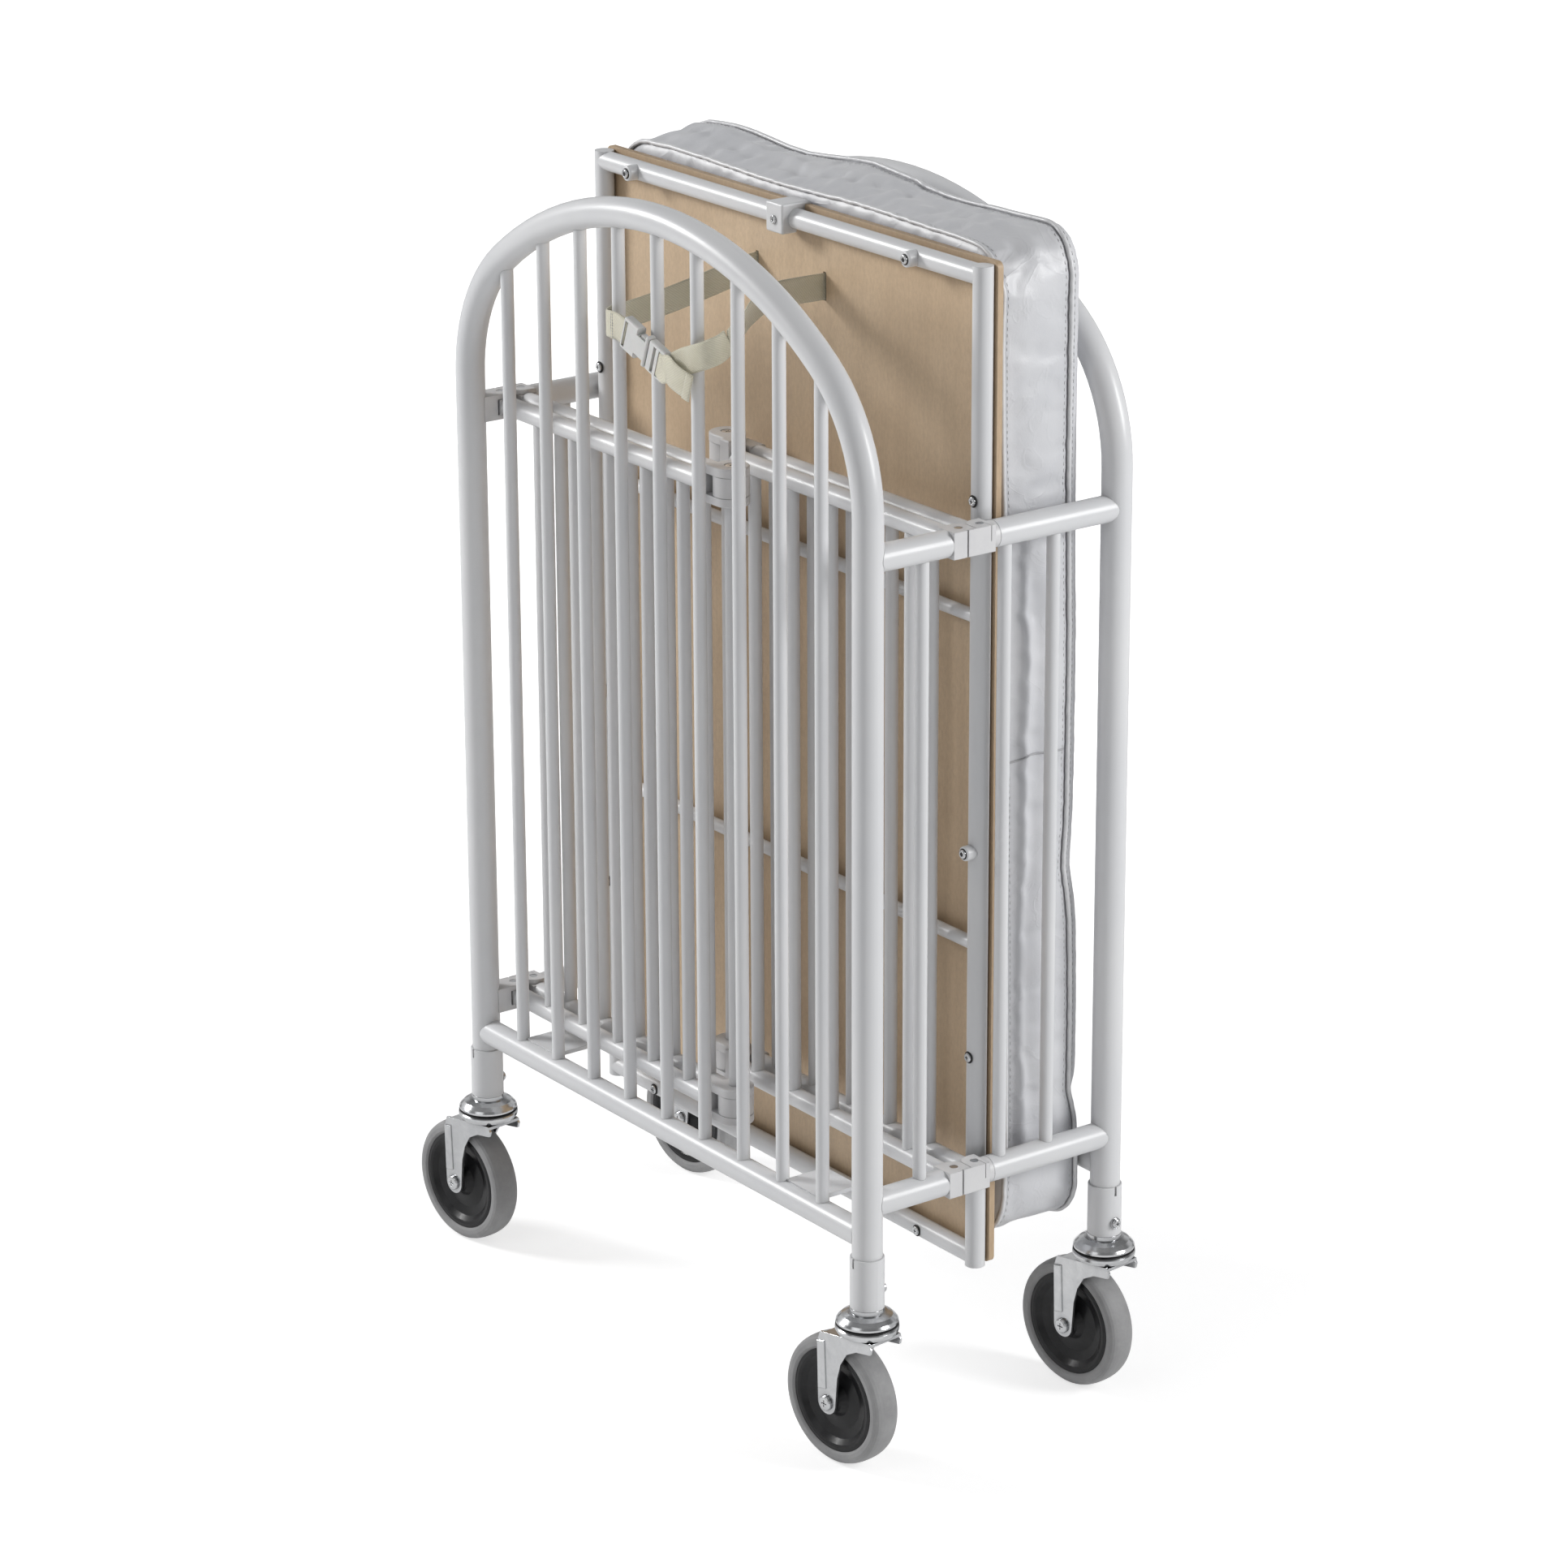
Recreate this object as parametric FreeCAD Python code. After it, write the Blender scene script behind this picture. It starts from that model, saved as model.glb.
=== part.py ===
# Folding steel crib on casters, folded upright for storage, with its mattress.
# Millimetres. X runs across the end frames (left is -X), Y from the front end
# frame to the rear one, Z up. Built about the centre of the front frame at
# floor level, then shifted so the origin is the middle of the footprint box.
import FreeCAD, Part
import os
from math import atan2, cos, radians, sin, sqrt

V = FreeCAD.Vector
os.makedirs("parts", exist_ok=True)

# ---------------------------------------------------------- shared dimensions
SHIFT_X, SHIFT_Y = -33.278, 141.0    # footprint box centre

LEG_R, LEG_WALL = 14.3, 1.5          # tube of both end frames
LEG_X = 319.0                        # leg centre to middle
DEPTH = 282.0                        # front frame to rear frame
BAR_R, BAR_WALL = 12.7, 1.4          # crossbars and stand-off rails
CROSS_Z = 236.0
RAIL_UP_Z, RAIL_LO_Z = 883.0, 268.0
RAIL_ZS = (RAIL_UP_Z, RAIL_LO_Z)
SPIN_R, SPIN_WALL = 6.35, 1.2        # spindles

FIT = 0.05                           # clearance of plugs and pin holes
OVER = 20.0                          # reach of cutting boxes past a part
SCREW_R = 2.0                        # screw shank
SCREW_HOLE_R = 2.1


# -------------------------------------------------------------------- helpers
def put(name, shape):
    placed = shape.copy()
    placed.translate(V(-SHIFT_X, -SHIFT_Y, 0))
    placed.exportStep("parts/%s.step" % name)


def put_all(name, shapes):
    solids = [solid for shape in shapes for solid in shape.Solids]
    put(name, Part.makeCompound(solids) if len(solids) > 1 else solids[0])


def largest(shape):
    return max(shape.Solids, key=lambda solid: solid.Volume)


def cyl(radius, start, end):
    start = V(*start)
    run = V(*end) - start
    return Part.makeCylinder(radius, run.Length, start, run)


def tube(radius, wall, start, end):
    return cyl(radius, start, end).cut(cyl(radius - wall, start, end))


def upright(radius, x, y, z0, z1):
    return cyl(radius, (x, y, z0), (x, y, z1))


def spindle(x, y, z0, z1):
    return tube(SPIN_R, SPIN_WALL, (x, y, z0), (x, y, z1))


def box(x0, x1, y0, y1, z0, z1):
    """Box between two bounds on each axis; X and Y bounds in either order."""
    corner = V(min(x0, x1), min(y0, y1), z0)
    return Part.makeBox(abs(x1 - x0), abs(y1 - y0), z1 - z0, corner)


def centred_box(x0, x1, half_y, half_z):
    return box(x0, x1, -half_y, half_y, -half_z, half_z)


def polygon_face(points):
    return Part.Face(Part.makePolygon(points + [points[0]]))


def face_xz(points, y=0.0):
    return polygon_face([V(x, y, z) for x, z in points])


def revolve(profile):
    """Turn a profile of (radius, z) points about Z."""
    return face_xz(profile).revolve(V(0, 0, 0), V(0, 0, 1), 360)


def clean(shape):
    # guards against a merge of coplanar faces that fails or is not valid
    try:
        merged = shape.removeSplitter()
        return merged if merged.isValid() else shape
    except Exception:
        return shape


def soften(shape, radius, pick=None):
    """Fillet the picked edges, or all of them."""
    edges = [e for e in shape.Edges if pick is None or pick(e)]
    # guards against a fillet that fails: the shape then stays sharp
    try:
        rounded = shape.makeFillet(radius, edges)
        if rounded.isValid() and rounded.Volume > 0:
            return rounded
    except Exception:
        pass
    return shape


def cross_recess(top, reach, depth):
    half_slot = 0.45
    z0, z1 = top - depth, top + 1
    return box(-reach, reach, -half_slot, half_slot, z0, z1).fuse(
        box(-half_slot, half_slot, -reach, reach, z0, z1))


def round_head(radius, bottom, top, rounding):
    head = upright(radius, 0, 0, bottom, top)
    return soften(head, rounding, lambda e: abs(e.BoundBox.ZMin - top) < 1e-6)


def screw(head_r, head_h, shank_l):
    """Pan head screw, head on +Z above the origin plane, shank below."""
    head = round_head(head_r, 0, head_h, head_h * 0.55)
    body = head.fuse(Part.makeCylinder(SCREW_R, shank_l, V(0, 0, -shank_l)))
    return clean(body.cut(cross_recess(head_h, head_r * 0.5, head_h * 0.55)))


def aim(shape, position, direction):
    """Turn the shape's +Z to the direction and move it to the position."""
    aimed = shape.copy()
    turn = FreeCAD.Rotation(V(0, 0, 1), V(*direction))
    aimed.Placement = FreeCAD.Placement(V(*position), turn).multiply(aimed.Placement)
    return aimed


# ----------------------------------------------------------------- end frames
APEX_Z = 1129.0                      # arch centreline at its top
TOP_R = 430.0                        # large bend over the top
CORNER_R = 158.0                     # tighter bend into each leg
LEG_END_Z = 169.0
TOP_CENTRE_Z = APEX_Z - TOP_R
CORNER_X = LEG_X - CORNER_R          # centres of the corner bends
CORNER_RISE = sqrt((TOP_R - CORNER_R) ** 2 - CORNER_X ** 2)
CORNER_Z = TOP_CENTRE_Z + CORNER_RISE
CORNER_ANGLE = atan2(CORNER_RISE, CORNER_X)

SPIN_PITCH = 62.6
FRAME_SPIN_X = [i * SPIN_PITCH for i in range(-4, 5)]

TAB_X = 219.0                        # mattress-support rest tabs
TAB_W, TAB_L, TAB_T = 52.0, 46.0, 4.0
TAB_ROUND = 10.0
TAB_SINK = 2.4                       # underside below the top of the crossbar

SLEEVE_R, SLEEVE_BORE = 16.2, 14.35  # both radii
SLEEVE_LO, SLEEVE_HI = 167.3, 217.5
SLEEVE_ROUND = 0.7
SLEEVE_SLOT_W, SLEEVE_SLOT_H = 2.4, 9.0
SLEEVE_SCREW_Z = 181.0
SLEEVE_HOLE_R = 2.05
WASHER_R, WASHER_T = 5.6, 0.9


def arch_wire(y):
    angle = CORNER_ANGLE
    left = [V(-LEG_X, y, LEG_END_Z),
            V(-LEG_X, y, CORNER_Z),
            V(-CORNER_X - CORNER_R * cos(angle / 2), y, CORNER_Z + CORNER_R * sin(angle / 2)),
            V(-TOP_R * cos(angle), y, TOP_CENTRE_Z + TOP_R * sin(angle))]
    right = [V(-p.x, y, p.z) for p in reversed(left)]
    points = left + [V(0, y, APEX_Z)] + right
    bends = [Part.Arc(*points[i:i + 3]).toShape() for i in (1, 3, 5)]
    return Part.Wire([Part.makeLine(*points[:2])] + bends + [Part.makeLine(*points[-2:])])


def solid_arch(y, radius):
    section = Part.Wire(Part.makeCircle(radius, V(-LEG_X, y, LEG_END_Z), V(0, 0, 1)))
    return arch_wire(y).makePipeShell([section], True, False)


def solid_legs(y):
    top = 900
    return upright(LEG_R, -LEG_X, y, LEG_END_Z, top).fuse(
        upright(LEG_R, LEG_X, y, LEG_END_Z, top))


def solid_crossbar(y):
    return cyl(BAR_R, (-LEG_X, y, CROSS_Z), (LEG_X, y, CROSS_Z))


def crossbar(y):
    bar = tube(BAR_R, BAR_WALL, (-LEG_X, y, CROSS_Z), (LEG_X, y, CROSS_Z))
    return largest(bar.cut(solid_legs(y)))


def frame_spindle(x, y, arch):
    # every spindle ends under the large bend
    top = TOP_CENTRE_Z + sqrt(TOP_R ** 2 - x * x)
    return largest(spindle(x, y, CROSS_Z, top).cut(arch).cut(solid_crossbar(y)))


def rest_tab(x, y, inward):
    """Rounded flat plate that reaches inwards from the crossbar."""
    y_end = y + inward * TAB_L
    z0 = CROSS_Z + BAR_R - TAB_SINK
    tab = box(x - TAB_W / 2, x + TAB_W / 2, y, y_end, z0, z0 + TAB_T)
    tab = soften(tab, TAB_ROUND, lambda e: abs(e.BoundBox.ZLength - TAB_T) < 1e-6
                 and abs(e.BoundBox.YMin - y_end) < 1e-6)
    stubs = Part.makeCompound([upright(SPIN_R, sx, y, CROSS_Z, 300) for sx in FRAME_SPIN_X])
    return largest(tab.cut(solid_crossbar(y)).cut(stubs))


def leg_sleeve(x, y, screw_dir, slot_turn):
    sleeve = upright(SLEEVE_R, x, y, SLEEVE_LO, SLEEVE_HI).cut(
        upright(SLEEVE_BORE, x, y, SLEEVE_LO, SLEEVE_HI))
    # rounded outer lip at the top
    sleeve = soften(sleeve, SLEEVE_ROUND, lambda e: abs(e.BoundBox.ZMin - SLEEVE_HI) < 1e-6
                    and e.BoundBox.XLength > 2 * SLEEVE_R - 1)
    slot = box(-SLEEVE_SLOT_W / 2, SLEEVE_SLOT_W / 2, 0, 30,
               SLEEVE_HI - SLEEVE_SLOT_H, SLEEVE_HI + 1)
    slot.rotate(V(0, 0, 0), V(0, 0, 1), slot_turn)
    slot.translate(V(x, y, 0))
    hole = cyl(SLEEVE_HOLE_R, (x, y, SLEEVE_SCREW_Z),
               (x + screw_dir[0] * 30, y + screw_dir[1] * 30, SLEEVE_SCREW_Z))
    return sleeve.cut(slot).cut(hole)


def sleeve_screw(x, y, screw_dir):
    """Screw and washer, cut away underneath to the radius of the sleeve."""
    washer = Part.makeCylinder(WASHER_R, WASHER_T, V(0, 0, -WASHER_T))
    body = clean(screw(4.6, 3.0, 3.2).fuse(washer))
    under_z = -SLEEVE_R - WASHER_T
    body = largest(body.cut(cyl(SLEEVE_R, (0, -20, under_z), (0, 20, under_z))))
    out = SLEEVE_R + WASHER_T
    return aim(body, (x + screw_dir[0] * out, y + screw_dir[1] * out, SLEEVE_SCREW_Z), screw_dir)


def end_frame(tag, y, inward, screw_dir, slot_turn):
    """Write the frame's own pieces; return its spindles and sleeve screws."""
    filled = solid_arch(y, LEG_R)
    put(tag + "_arch", filled.cut(solid_arch(y, LEG_R - LEG_WALL)))
    put(tag + "_crossbar", crossbar(y))
    put_all(tag + "_rest_tabs", [rest_tab(x, y, inward) for x in (-TAB_X, TAB_X)])
    legs_x = (-LEG_X, LEG_X)
    put_all(tag + "_leg_sleeves", [leg_sleeve(x, y, screw_dir, slot_turn) for x in legs_x])
    spindles = [frame_spindle(x, y, filled) for x in FRAME_SPIN_X]
    return spindles, [sleeve_screw(x, y, screw_dir) for x in legs_x]


# slots face -Y on the front sleeves and +X on the rear ones
front_spindles, front_screws = end_frame("front", 0.0, 1, (0, 1, 0), slot_turn=180)
rear_spindles, rear_sleeve_screws = end_frame("rear", DEPTH, -1, (1, 0, 0), slot_turn=-90)
put_all("front_sleeve_screws", front_screws)

# --------------------------------------------------------------- hinge layout
HALF_R, HALF_WALL = 9.5, 1.2         # rails of the folding side halves
HINGE_L = 368.0                      # pivot to pivot of one half, along the rail
HINGE_OFF = 12.0                     # middle pivot beside the rail line
LEFT_Y, RIGHT_Y = 34.0, 100.0        # rail lines of the two front halves
PIN_R = 4.0
EYE_R, EYE_HALF = 10.4, 7.3          # eye at the corner end of a rail


def pivots(side, y):
    """Front corner, middle and rear corner pivots (x, y) of one folded side."""
    x = side * LEG_X
    return (x, y), (x - side * HINGE_L, y + HINGE_OFF), (x, y + 2 * HINGE_OFF)


LEFT_FRONT, LEFT_MID, LEFT_REAR = pivots(-1, LEFT_Y)
RIGHT_FRONT, RIGHT_MID, RIGHT_REAR = pivots(1, RIGHT_Y)


def pin_hole(x, y, z):
    return upright(PIN_R + FIT, x, y, z - 40, z + 40)


def pin(pivot, z, half_h, head=False):
    x, y = pivot
    top = z + half_h
    body = upright(PIN_R, x, y, z - half_h, top)
    if head:
        body = body.fuse(upright(5.8, x, y, top - 1.7, top))
        recess = cross_recess(0, 3.0, 1.6)
        recess.rotate(V(0, 0, 0), V(0, 0, 1), 28)
        recess.translate(V(x, y, top))
        body = body.cut(recess)
    return clean(body)


# ---------------------------------------------- stand-off rails and brackets
CAST_W = 12.4                        # half width of the corner castings
CAST_REACH = 11.6                    # casting past the pivot
CAST_ROUND = 1.4
EAR_IN, EAR_Z = 7.6, 12.5            # ears, from and to, above and below the rail line
CHEEK_X = 10.7                       # inside of the closed cheek
CHEEK_LONG = 21.5                    # cheek of the rear castings past the pivot
DRUM_Y = -9.0                        # end of the round part of the rear castings
SPIGOT_L = 12.0                      # spigot inside the stand-off tube
PARTING_Y0, PARTING_Y1 = -4.3, -3.7
PARTING_DEPTH = 0.6

LEFT_FRONT_TUBE_END = 6.0            # this bracket starts at the leg itself
RIGHT_FRONT_TUBE_END = RIGHT_Y - 14.0
LEFT_REAR_TUBE_END = LEFT_REAR[1] + 15.0
RIGHT_REAR_TUBE_END = RIGHT_REAR[1] + 15.0


def standoffs(x, y0, y1, frame_y):
    legs = solid_legs(frame_y)
    return [largest(tube(BAR_R, BAR_WALL, (x, y0, z), (x, y1, z)).cut(legs)) for z in RAIL_ZS]


def standoff_spindle(x, y):
    post = spindle(x, y, RAIL_LO_Z, RAIL_UP_Z)
    for z in RAIL_ZS:
        post = post.cut(cyl(BAR_R, (x, y - 40, z), (x, y + 40, z)))
    return largest(post)


def bracket(pivot, z, tube_end, inward, side, long):
    """Cast end of a stand-off: closed on its outer side, top and bottom, open
    where the moving half swings. Built about the pivot with the tube on -Y and
    the closed cheek on +X, then mirrored for the other corners."""
    reach = inward * (pivot[1] - tube_end)
    z0, z1 = -EAR_Z, EAR_Z
    body = box(-CAST_W, CAST_W, -reach, CAST_REACH, z0, z1)
    round_corner = upright(CAST_W - 0.2, 0, 0, -30, 30)
    body = body.cut(box(-OVER, 0, 0, OVER, z0 - 1, z1 + 1).cut(round_corner))
    if long:
        body = body.fuse(box(CHEEK_X, CAST_W, 0, CHEEK_LONG, z0, z1))
        drum = cyl(CAST_W + 0.1, (0, -reach, 0), (0, DRUM_Y, 0))
        body = body.cut(box(-OVER, OVER, -reach - 1, DRUM_Y, -OVER, OVER).cut(drum))
    else:
        body = body.cut(box(EYE_R, OVER, 1.0, OVER, z0 - 1, z1 + 1))
    body = soften(clean(body), CAST_ROUND, lambda e: abs(abs(e.BoundBox.ZMin) - z1) < 1e-4
                  and e.BoundBox.ZLength < 1e-4 and e.BoundBox.YMin > -reach + 0.01)
    # space for the eye and neck of the moving half
    room = box(-OVER, 0, -CHEEK_X - 0.2, 60, -EAR_IN, EAR_IN).fuse(
        box(0, CHEEK_X, 0, 60, -EAR_IN, EAR_IN)).fuse(
        upright(CHEEK_X, 0, 0, -EAR_IN, EAR_IN))
    body = body.cut(room)
    if long:
        # parting line of the casting, down the cheek and across the top
        body = body.cut(box(CAST_W - PARTING_DEPTH, OVER, PARTING_Y0, PARTING_Y1, -2.0, OVER))
        body = body.cut(box(-3.0, OVER, PARTING_Y0, PARTING_Y1, z1 - PARTING_DEPTH, OVER))
    spigot = cyl(BAR_R - BAR_WALL - FIT, (0, -reach - SPIGOT_L, 0), (0, -reach, 0))
    body = clean(body.fuse(spigot).cut(pin_hole(0, 0, 0)))
    if side < 0:
        body = body.mirror(V(0, 0, 0), V(1, 0, 0))
    if inward < 0:
        body = body.mirror(V(0, 0, 0), V(0, 1, 0))
    body.translate(V(pivot[0], pivot[1], z))
    return body


def left_front_bracket(z):
    body = bracket(LEFT_FRONT, z, LEFT_FRONT_TUBE_END, 1, -1, long=False)
    return largest(body.cut(upright(LEG_R, -LEG_X, 0, z - 60, z + 60)))


put_all("front_standoff_rails", standoffs(LEG_X, 0.0, RIGHT_FRONT_TUBE_END, 0.0))
put_all("rear_standoff_rails", standoffs(-LEG_X, LEFT_REAR_TUBE_END, DEPTH, DEPTH)
        + standoffs(LEG_X, RIGHT_REAR_TUBE_END, DEPTH, DEPTH))
put_all("front_spindles", front_spindles + [standoff_spindle(LEG_X, 60.0)])
put_all("rear_spindles", rear_spindles
        + [standoff_spindle(LEG_X, y) for y in (153.0, 209.0)]
        + [standoff_spindle(-LEG_X, y) for y in (108.0, 165.0, 222.0)])

front_brackets, rear_brackets = [], []
for z in RAIL_ZS:
    front_brackets += [left_front_bracket(z),
                       bracket(RIGHT_FRONT, z, RIGHT_FRONT_TUBE_END, 1, 1, long=False)]
    rear_brackets += [bracket(LEFT_REAR, z, LEFT_REAR_TUBE_END, -1, -1, long=True),
                      bracket(RIGHT_REAR, z, RIGHT_REAR_TUBE_END, -1, 1, long=True)]
put_all("front_hinge_brackets", front_brackets)
put_all("rear_hinge_brackets", rear_brackets)
for tag, corners in (("front", (LEFT_FRONT, RIGHT_FRONT)), ("rear", (LEFT_REAR, RIGHT_REAR))):
    put_all(tag + "_hinge_pins", [pin(p, z, EAR_Z - 0.25) for z in RAIL_ZS for p in corners])

# ------------------------------------------------------- folding side halves
# "along" is the X sign of the way from the corner pivot to the middle pivot
KNUCKLE_R, KNUCKLE_HALF = 17.5, 18.5
KNUCKLE_ROUND = 1.6
TONGUE_HALF = 9.7
FORK_GAP = 0.25                      # fork disc to tongue
END_GAP = 14.8                       # corner pivot to rail end
MID_GAP = 32.0                       # middle pivot to rail end
CAP_T = 1.7                          # round cap that closes the rail end
PLUG_L = 14.0
HALF_SPIN = [68.0, 128.0, 188.0, 248.0, 308.0]   # from the corner pivot


def rail_plug(x, y, z, way):
    return cyl(HALF_R - HALF_WALL - FIT, (x, y, z), (x + way * PLUG_L, y, z))


def rail_eye(pivot, z, along):
    x, y = pivot
    end = x + along * END_GAP
    body = upright(EYE_R, x, y, z - EYE_HALF, z + EYE_HALF)
    neck_w = HALF_R - 0.3
    body = body.fuse(box(x, end - along * 0.5, y - neck_w, y + neck_w,
                         z - EYE_HALF, z + EYE_HALF))
    body = body.fuse(cyl(HALF_R, (end - along * CAP_T, y, z), (end, y, z)))
    body = body.fuse(rail_plug(end, y, z, along))
    return clean(body.cut(pin_hole(x, y, z)))


def fork_knuckle(pivot, z, way, rail_y):
    """Outer discs of the middle hinge, joined by a web at the rail end."""
    x, y = pivot
    z0, z1 = z - KNUCKLE_HALF, z + KNUCKLE_HALF
    end = x + way * MID_GAP
    rail_y0, rail_y1 = rail_y - HALF_R, rail_y + HALF_R
    body = box(x + way * (KNUCKLE_R + 0.6), end, rail_y0, rail_y1, z0, z1)
    inner = TONGUE_HALF + FORK_GAP
    for za, zb in ((z0, z - inner), (z + inner, z1)):
        arm = box(x, end, rail_y0, rail_y1, za, zb).common(
            box(-600, 600, y - KNUCKLE_R, y + KNUCKLE_R, za, zb))
        body = body.fuse(upright(KNUCKLE_R, x, y, za, zb)).fuse(arm)
    body = soften(clean(body), KNUCKLE_ROUND, lambda e: any(
        abs(e.BoundBox.ZMin - face_z) < 1e-4 and abs(e.BoundBox.ZMax - face_z) < 1e-4
        for face_z in (z0, z1)))
    body = body.fuse(rail_plug(end, rail_y, z, way))
    body = body.cut(pin_hole(x, y, z))
    # counterbore for the pin head
    return clean(body.cut(upright(6.4, x, y, z1 - 2.2, z1)))


def tongue_knuckle(pivot, z, way, rail_y):
    x, y = pivot
    end = x + way * MID_GAP
    body = upright(KNUCKLE_R - 0.3, x, y, z - TONGUE_HALF, z + TONGUE_HALF)
    arm = box(x, end, rail_y - HALF_R, rail_y + HALF_R, z - 9.3, z + 9.3)
    arm = soften(arm, 3.0, lambda e: e.BoundBox.XLength > MID_GAP - 1)
    body = body.fuse(arm).fuse(rail_plug(end, rail_y, z, way))
    return clean(body.cut(pin_hole(x, y, z)))


def side_half(tag, corner, middle, along, knuckle):
    """Rails, spindles and knuckles of one half; a fork half also carries the
    spindle on the middle pivot line."""
    rail_y = corner[1]
    ends = [((corner[0] + along * END_GAP, rail_y, z), (middle[0] - along * MID_GAP, rail_y, z))
            for z in RAIL_ZS]
    put_all(tag + "_rails", [tube(HALF_R, HALF_WALL, a, b) for a, b in ends])
    spindles = []
    for distance in HALF_SPIN:
        post = spindle(corner[0] + along * distance, rail_y, RAIL_LO_Z, RAIL_UP_Z)
        for a, b in ends:
            post = post.cut(cyl(HALF_R, a, b))
        spindles.append(largest(post))
    if knuckle is fork_knuckle:
        trim = KNUCKLE_HALF + FIT
        spindles.append(spindle(middle[0], middle[1], RAIL_LO_Z + trim, RAIL_UP_Z - trim))
    put_all(tag + "_spindles", spindles)
    knuckles = []
    for z in RAIL_ZS:
        knuckles += [rail_eye(corner, z, along), knuckle(middle, z, -along, rail_y)]
    put_all(tag + "_knuckles", knuckles)


for tag, along, front, middle, rear in (
        ("left", 1, LEFT_FRONT, LEFT_MID, LEFT_REAR),
        ("right", -1, RIGHT_FRONT, RIGHT_MID, RIGHT_REAR)):
    side_half(tag + "_front", front, middle, along, fork_knuckle)
    side_half(tag + "_rear", rear, middle, along, tongue_knuckle)
    put_all(tag + "_centre_pins",
            [pin(middle, z, KNUCKLE_HALF - 0.3, head=True) for z in RAIL_ZS])

# ------------------------------------------------------------- mattress board
BOARD_Y = 144.5                      # ring of tube
BOARD_R, BOARD_WALL = 9.5, 1.4
BOARD_END_WALL = 1.6                 # closed ends of the upright tubes
BOARD_X = 295.5
BOARD_LO, BOARD_HI = 170.5, 1113.0
BOARD_FACE_Y = BOARD_Y - BOARD_R     # front of the ring
RUNG_Z = [797.0, 482.0]

PANEL_Y0, PANEL_T = 154.2, 6.0       # hardboard sheet behind the ring
PANEL_Y1 = PANEL_Y0 + PANEL_T
PANEL_X = 304.5
PANEL_LO, PANEL_HI = 163.0, 1125.0
PANEL_ROUND = 6.0
SLOT_L, SLOT_R = -58.0, 48.0         # upright slots the strap passes through
SLOT_Z = 1053.5
SLOT_W, SLOT_H = 4.4, 27.0

CLIP_X0, CLIP_X1 = -8.0, 18.0        # spring clip over the top edge
CLIP_FACE_Y = BOARD_Y - 16.5
CLIP_ROUND = 2.2
CLIP_SCREW_X, CLIP_SCREW_Z = 5, BOARD_HI - 1


def board_bars(radius, end_wall):
    """Four fused bars of the ring, the uprights held back at both ends."""
    z0 = BOARD_LO - BOARD_R + end_wall
    z1 = BOARD_HI + BOARD_R - end_wall
    bars = upright(radius, -BOARD_X, BOARD_Y, z0, z1)
    bars = bars.fuse(upright(radius, BOARD_X, BOARD_Y, z0, z1))
    for z in (BOARD_LO, BOARD_HI):
        bars = bars.fuse(cyl(radius, (-BOARD_X, BOARD_Y, z), (BOARD_X, BOARD_Y, z)))
    return bars


BOARD_SOLID = clean(board_bars(BOARD_R, 0.0))


def board_rung(z):
    rung = tube(SPIN_R, SPIN_WALL, (-BOARD_X, BOARD_Y, z), (BOARD_X, BOARD_Y, z))
    return largest(rung.cut(BOARD_SOLID))


def hardboard():
    sheet = box(-PANEL_X, PANEL_X, PANEL_Y0, PANEL_Y1, PANEL_LO, PANEL_HI)
    sheet = soften(sheet, PANEL_ROUND, lambda e: abs(e.BoundBox.YLength - PANEL_T) < 1e-6)
    for x in (SLOT_L, SLOT_R):
        sheet = sheet.cut(box(x - SLOT_W / 2, x + SLOT_W / 2, PANEL_Y0 - 1, PANEL_Y1 + 1,
                              SLOT_Z - SLOT_H / 2, SLOT_Z + SLOT_H / 2))
    return sheet


def boss(x, z, radius, length):
    """Stand-off boss on the front of the ring, and its screw."""
    face_y = BOARD_FACE_Y - length
    body = cyl(radius, (x, face_y, z), (x, BOARD_Y, z))
    body = soften(body, 1.6, lambda e: abs(e.BoundBox.YMax - face_y) < 1e-6)
    body = largest(body.cut(BOARD_SOLID))
    body = body.cut(cyl(SCREW_HOLE_R, (x, face_y - 1, z), (x, face_y + 6, z)))
    return body, aim(screw(4.4, 2.2, 5.0), (x, face_y, z), (0, -1, 0))


def tube_screw(x, z):
    """Screw head that sits on the round front of the ring."""
    head = round_head(4.4, -1.0, 2.4, 1.3).cut(cross_recess(2.4, 2.2, 1.3))
    return largest(aim(head, (x, BOARD_FACE_Y, z), (0, -1, 0)).cut(BOARD_SOLID))


def spring_clip():
    body = box(CLIP_X0, CLIP_X1, CLIP_FACE_Y, PANEL_Y1 + 1.4, BOARD_HI - 13.5, PANEL_HI + 3.0)
    body = soften(body, CLIP_ROUND).cut(BOARD_SOLID)
    # room for the sheet, then for the gap between ring and sheet
    body = body.cut(box(-20, 30, PANEL_Y0, PANEL_Y1, 1000, PANEL_HI))
    body = largest(body.cut(box(-20, 30, BOARD_Y, PANEL_Y0 + 0.01, 1090, BOARD_HI)))
    hole = cyl(SCREW_HOLE_R, (CLIP_SCREW_X, CLIP_FACE_Y - 1.5, CLIP_SCREW_Z),
               (CLIP_SCREW_X, CLIP_FACE_Y + 5.3, CLIP_SCREW_Z))
    return largest(body.cut(hole))


put_all("board_frame", [BOARD_SOLID.cut(board_bars(BOARD_R - BOARD_WALL, BOARD_END_WALL))])
put_all("board_rungs", [board_rung(z) for z in RUNG_Z])
put("hardboard", hardboard())

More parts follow.
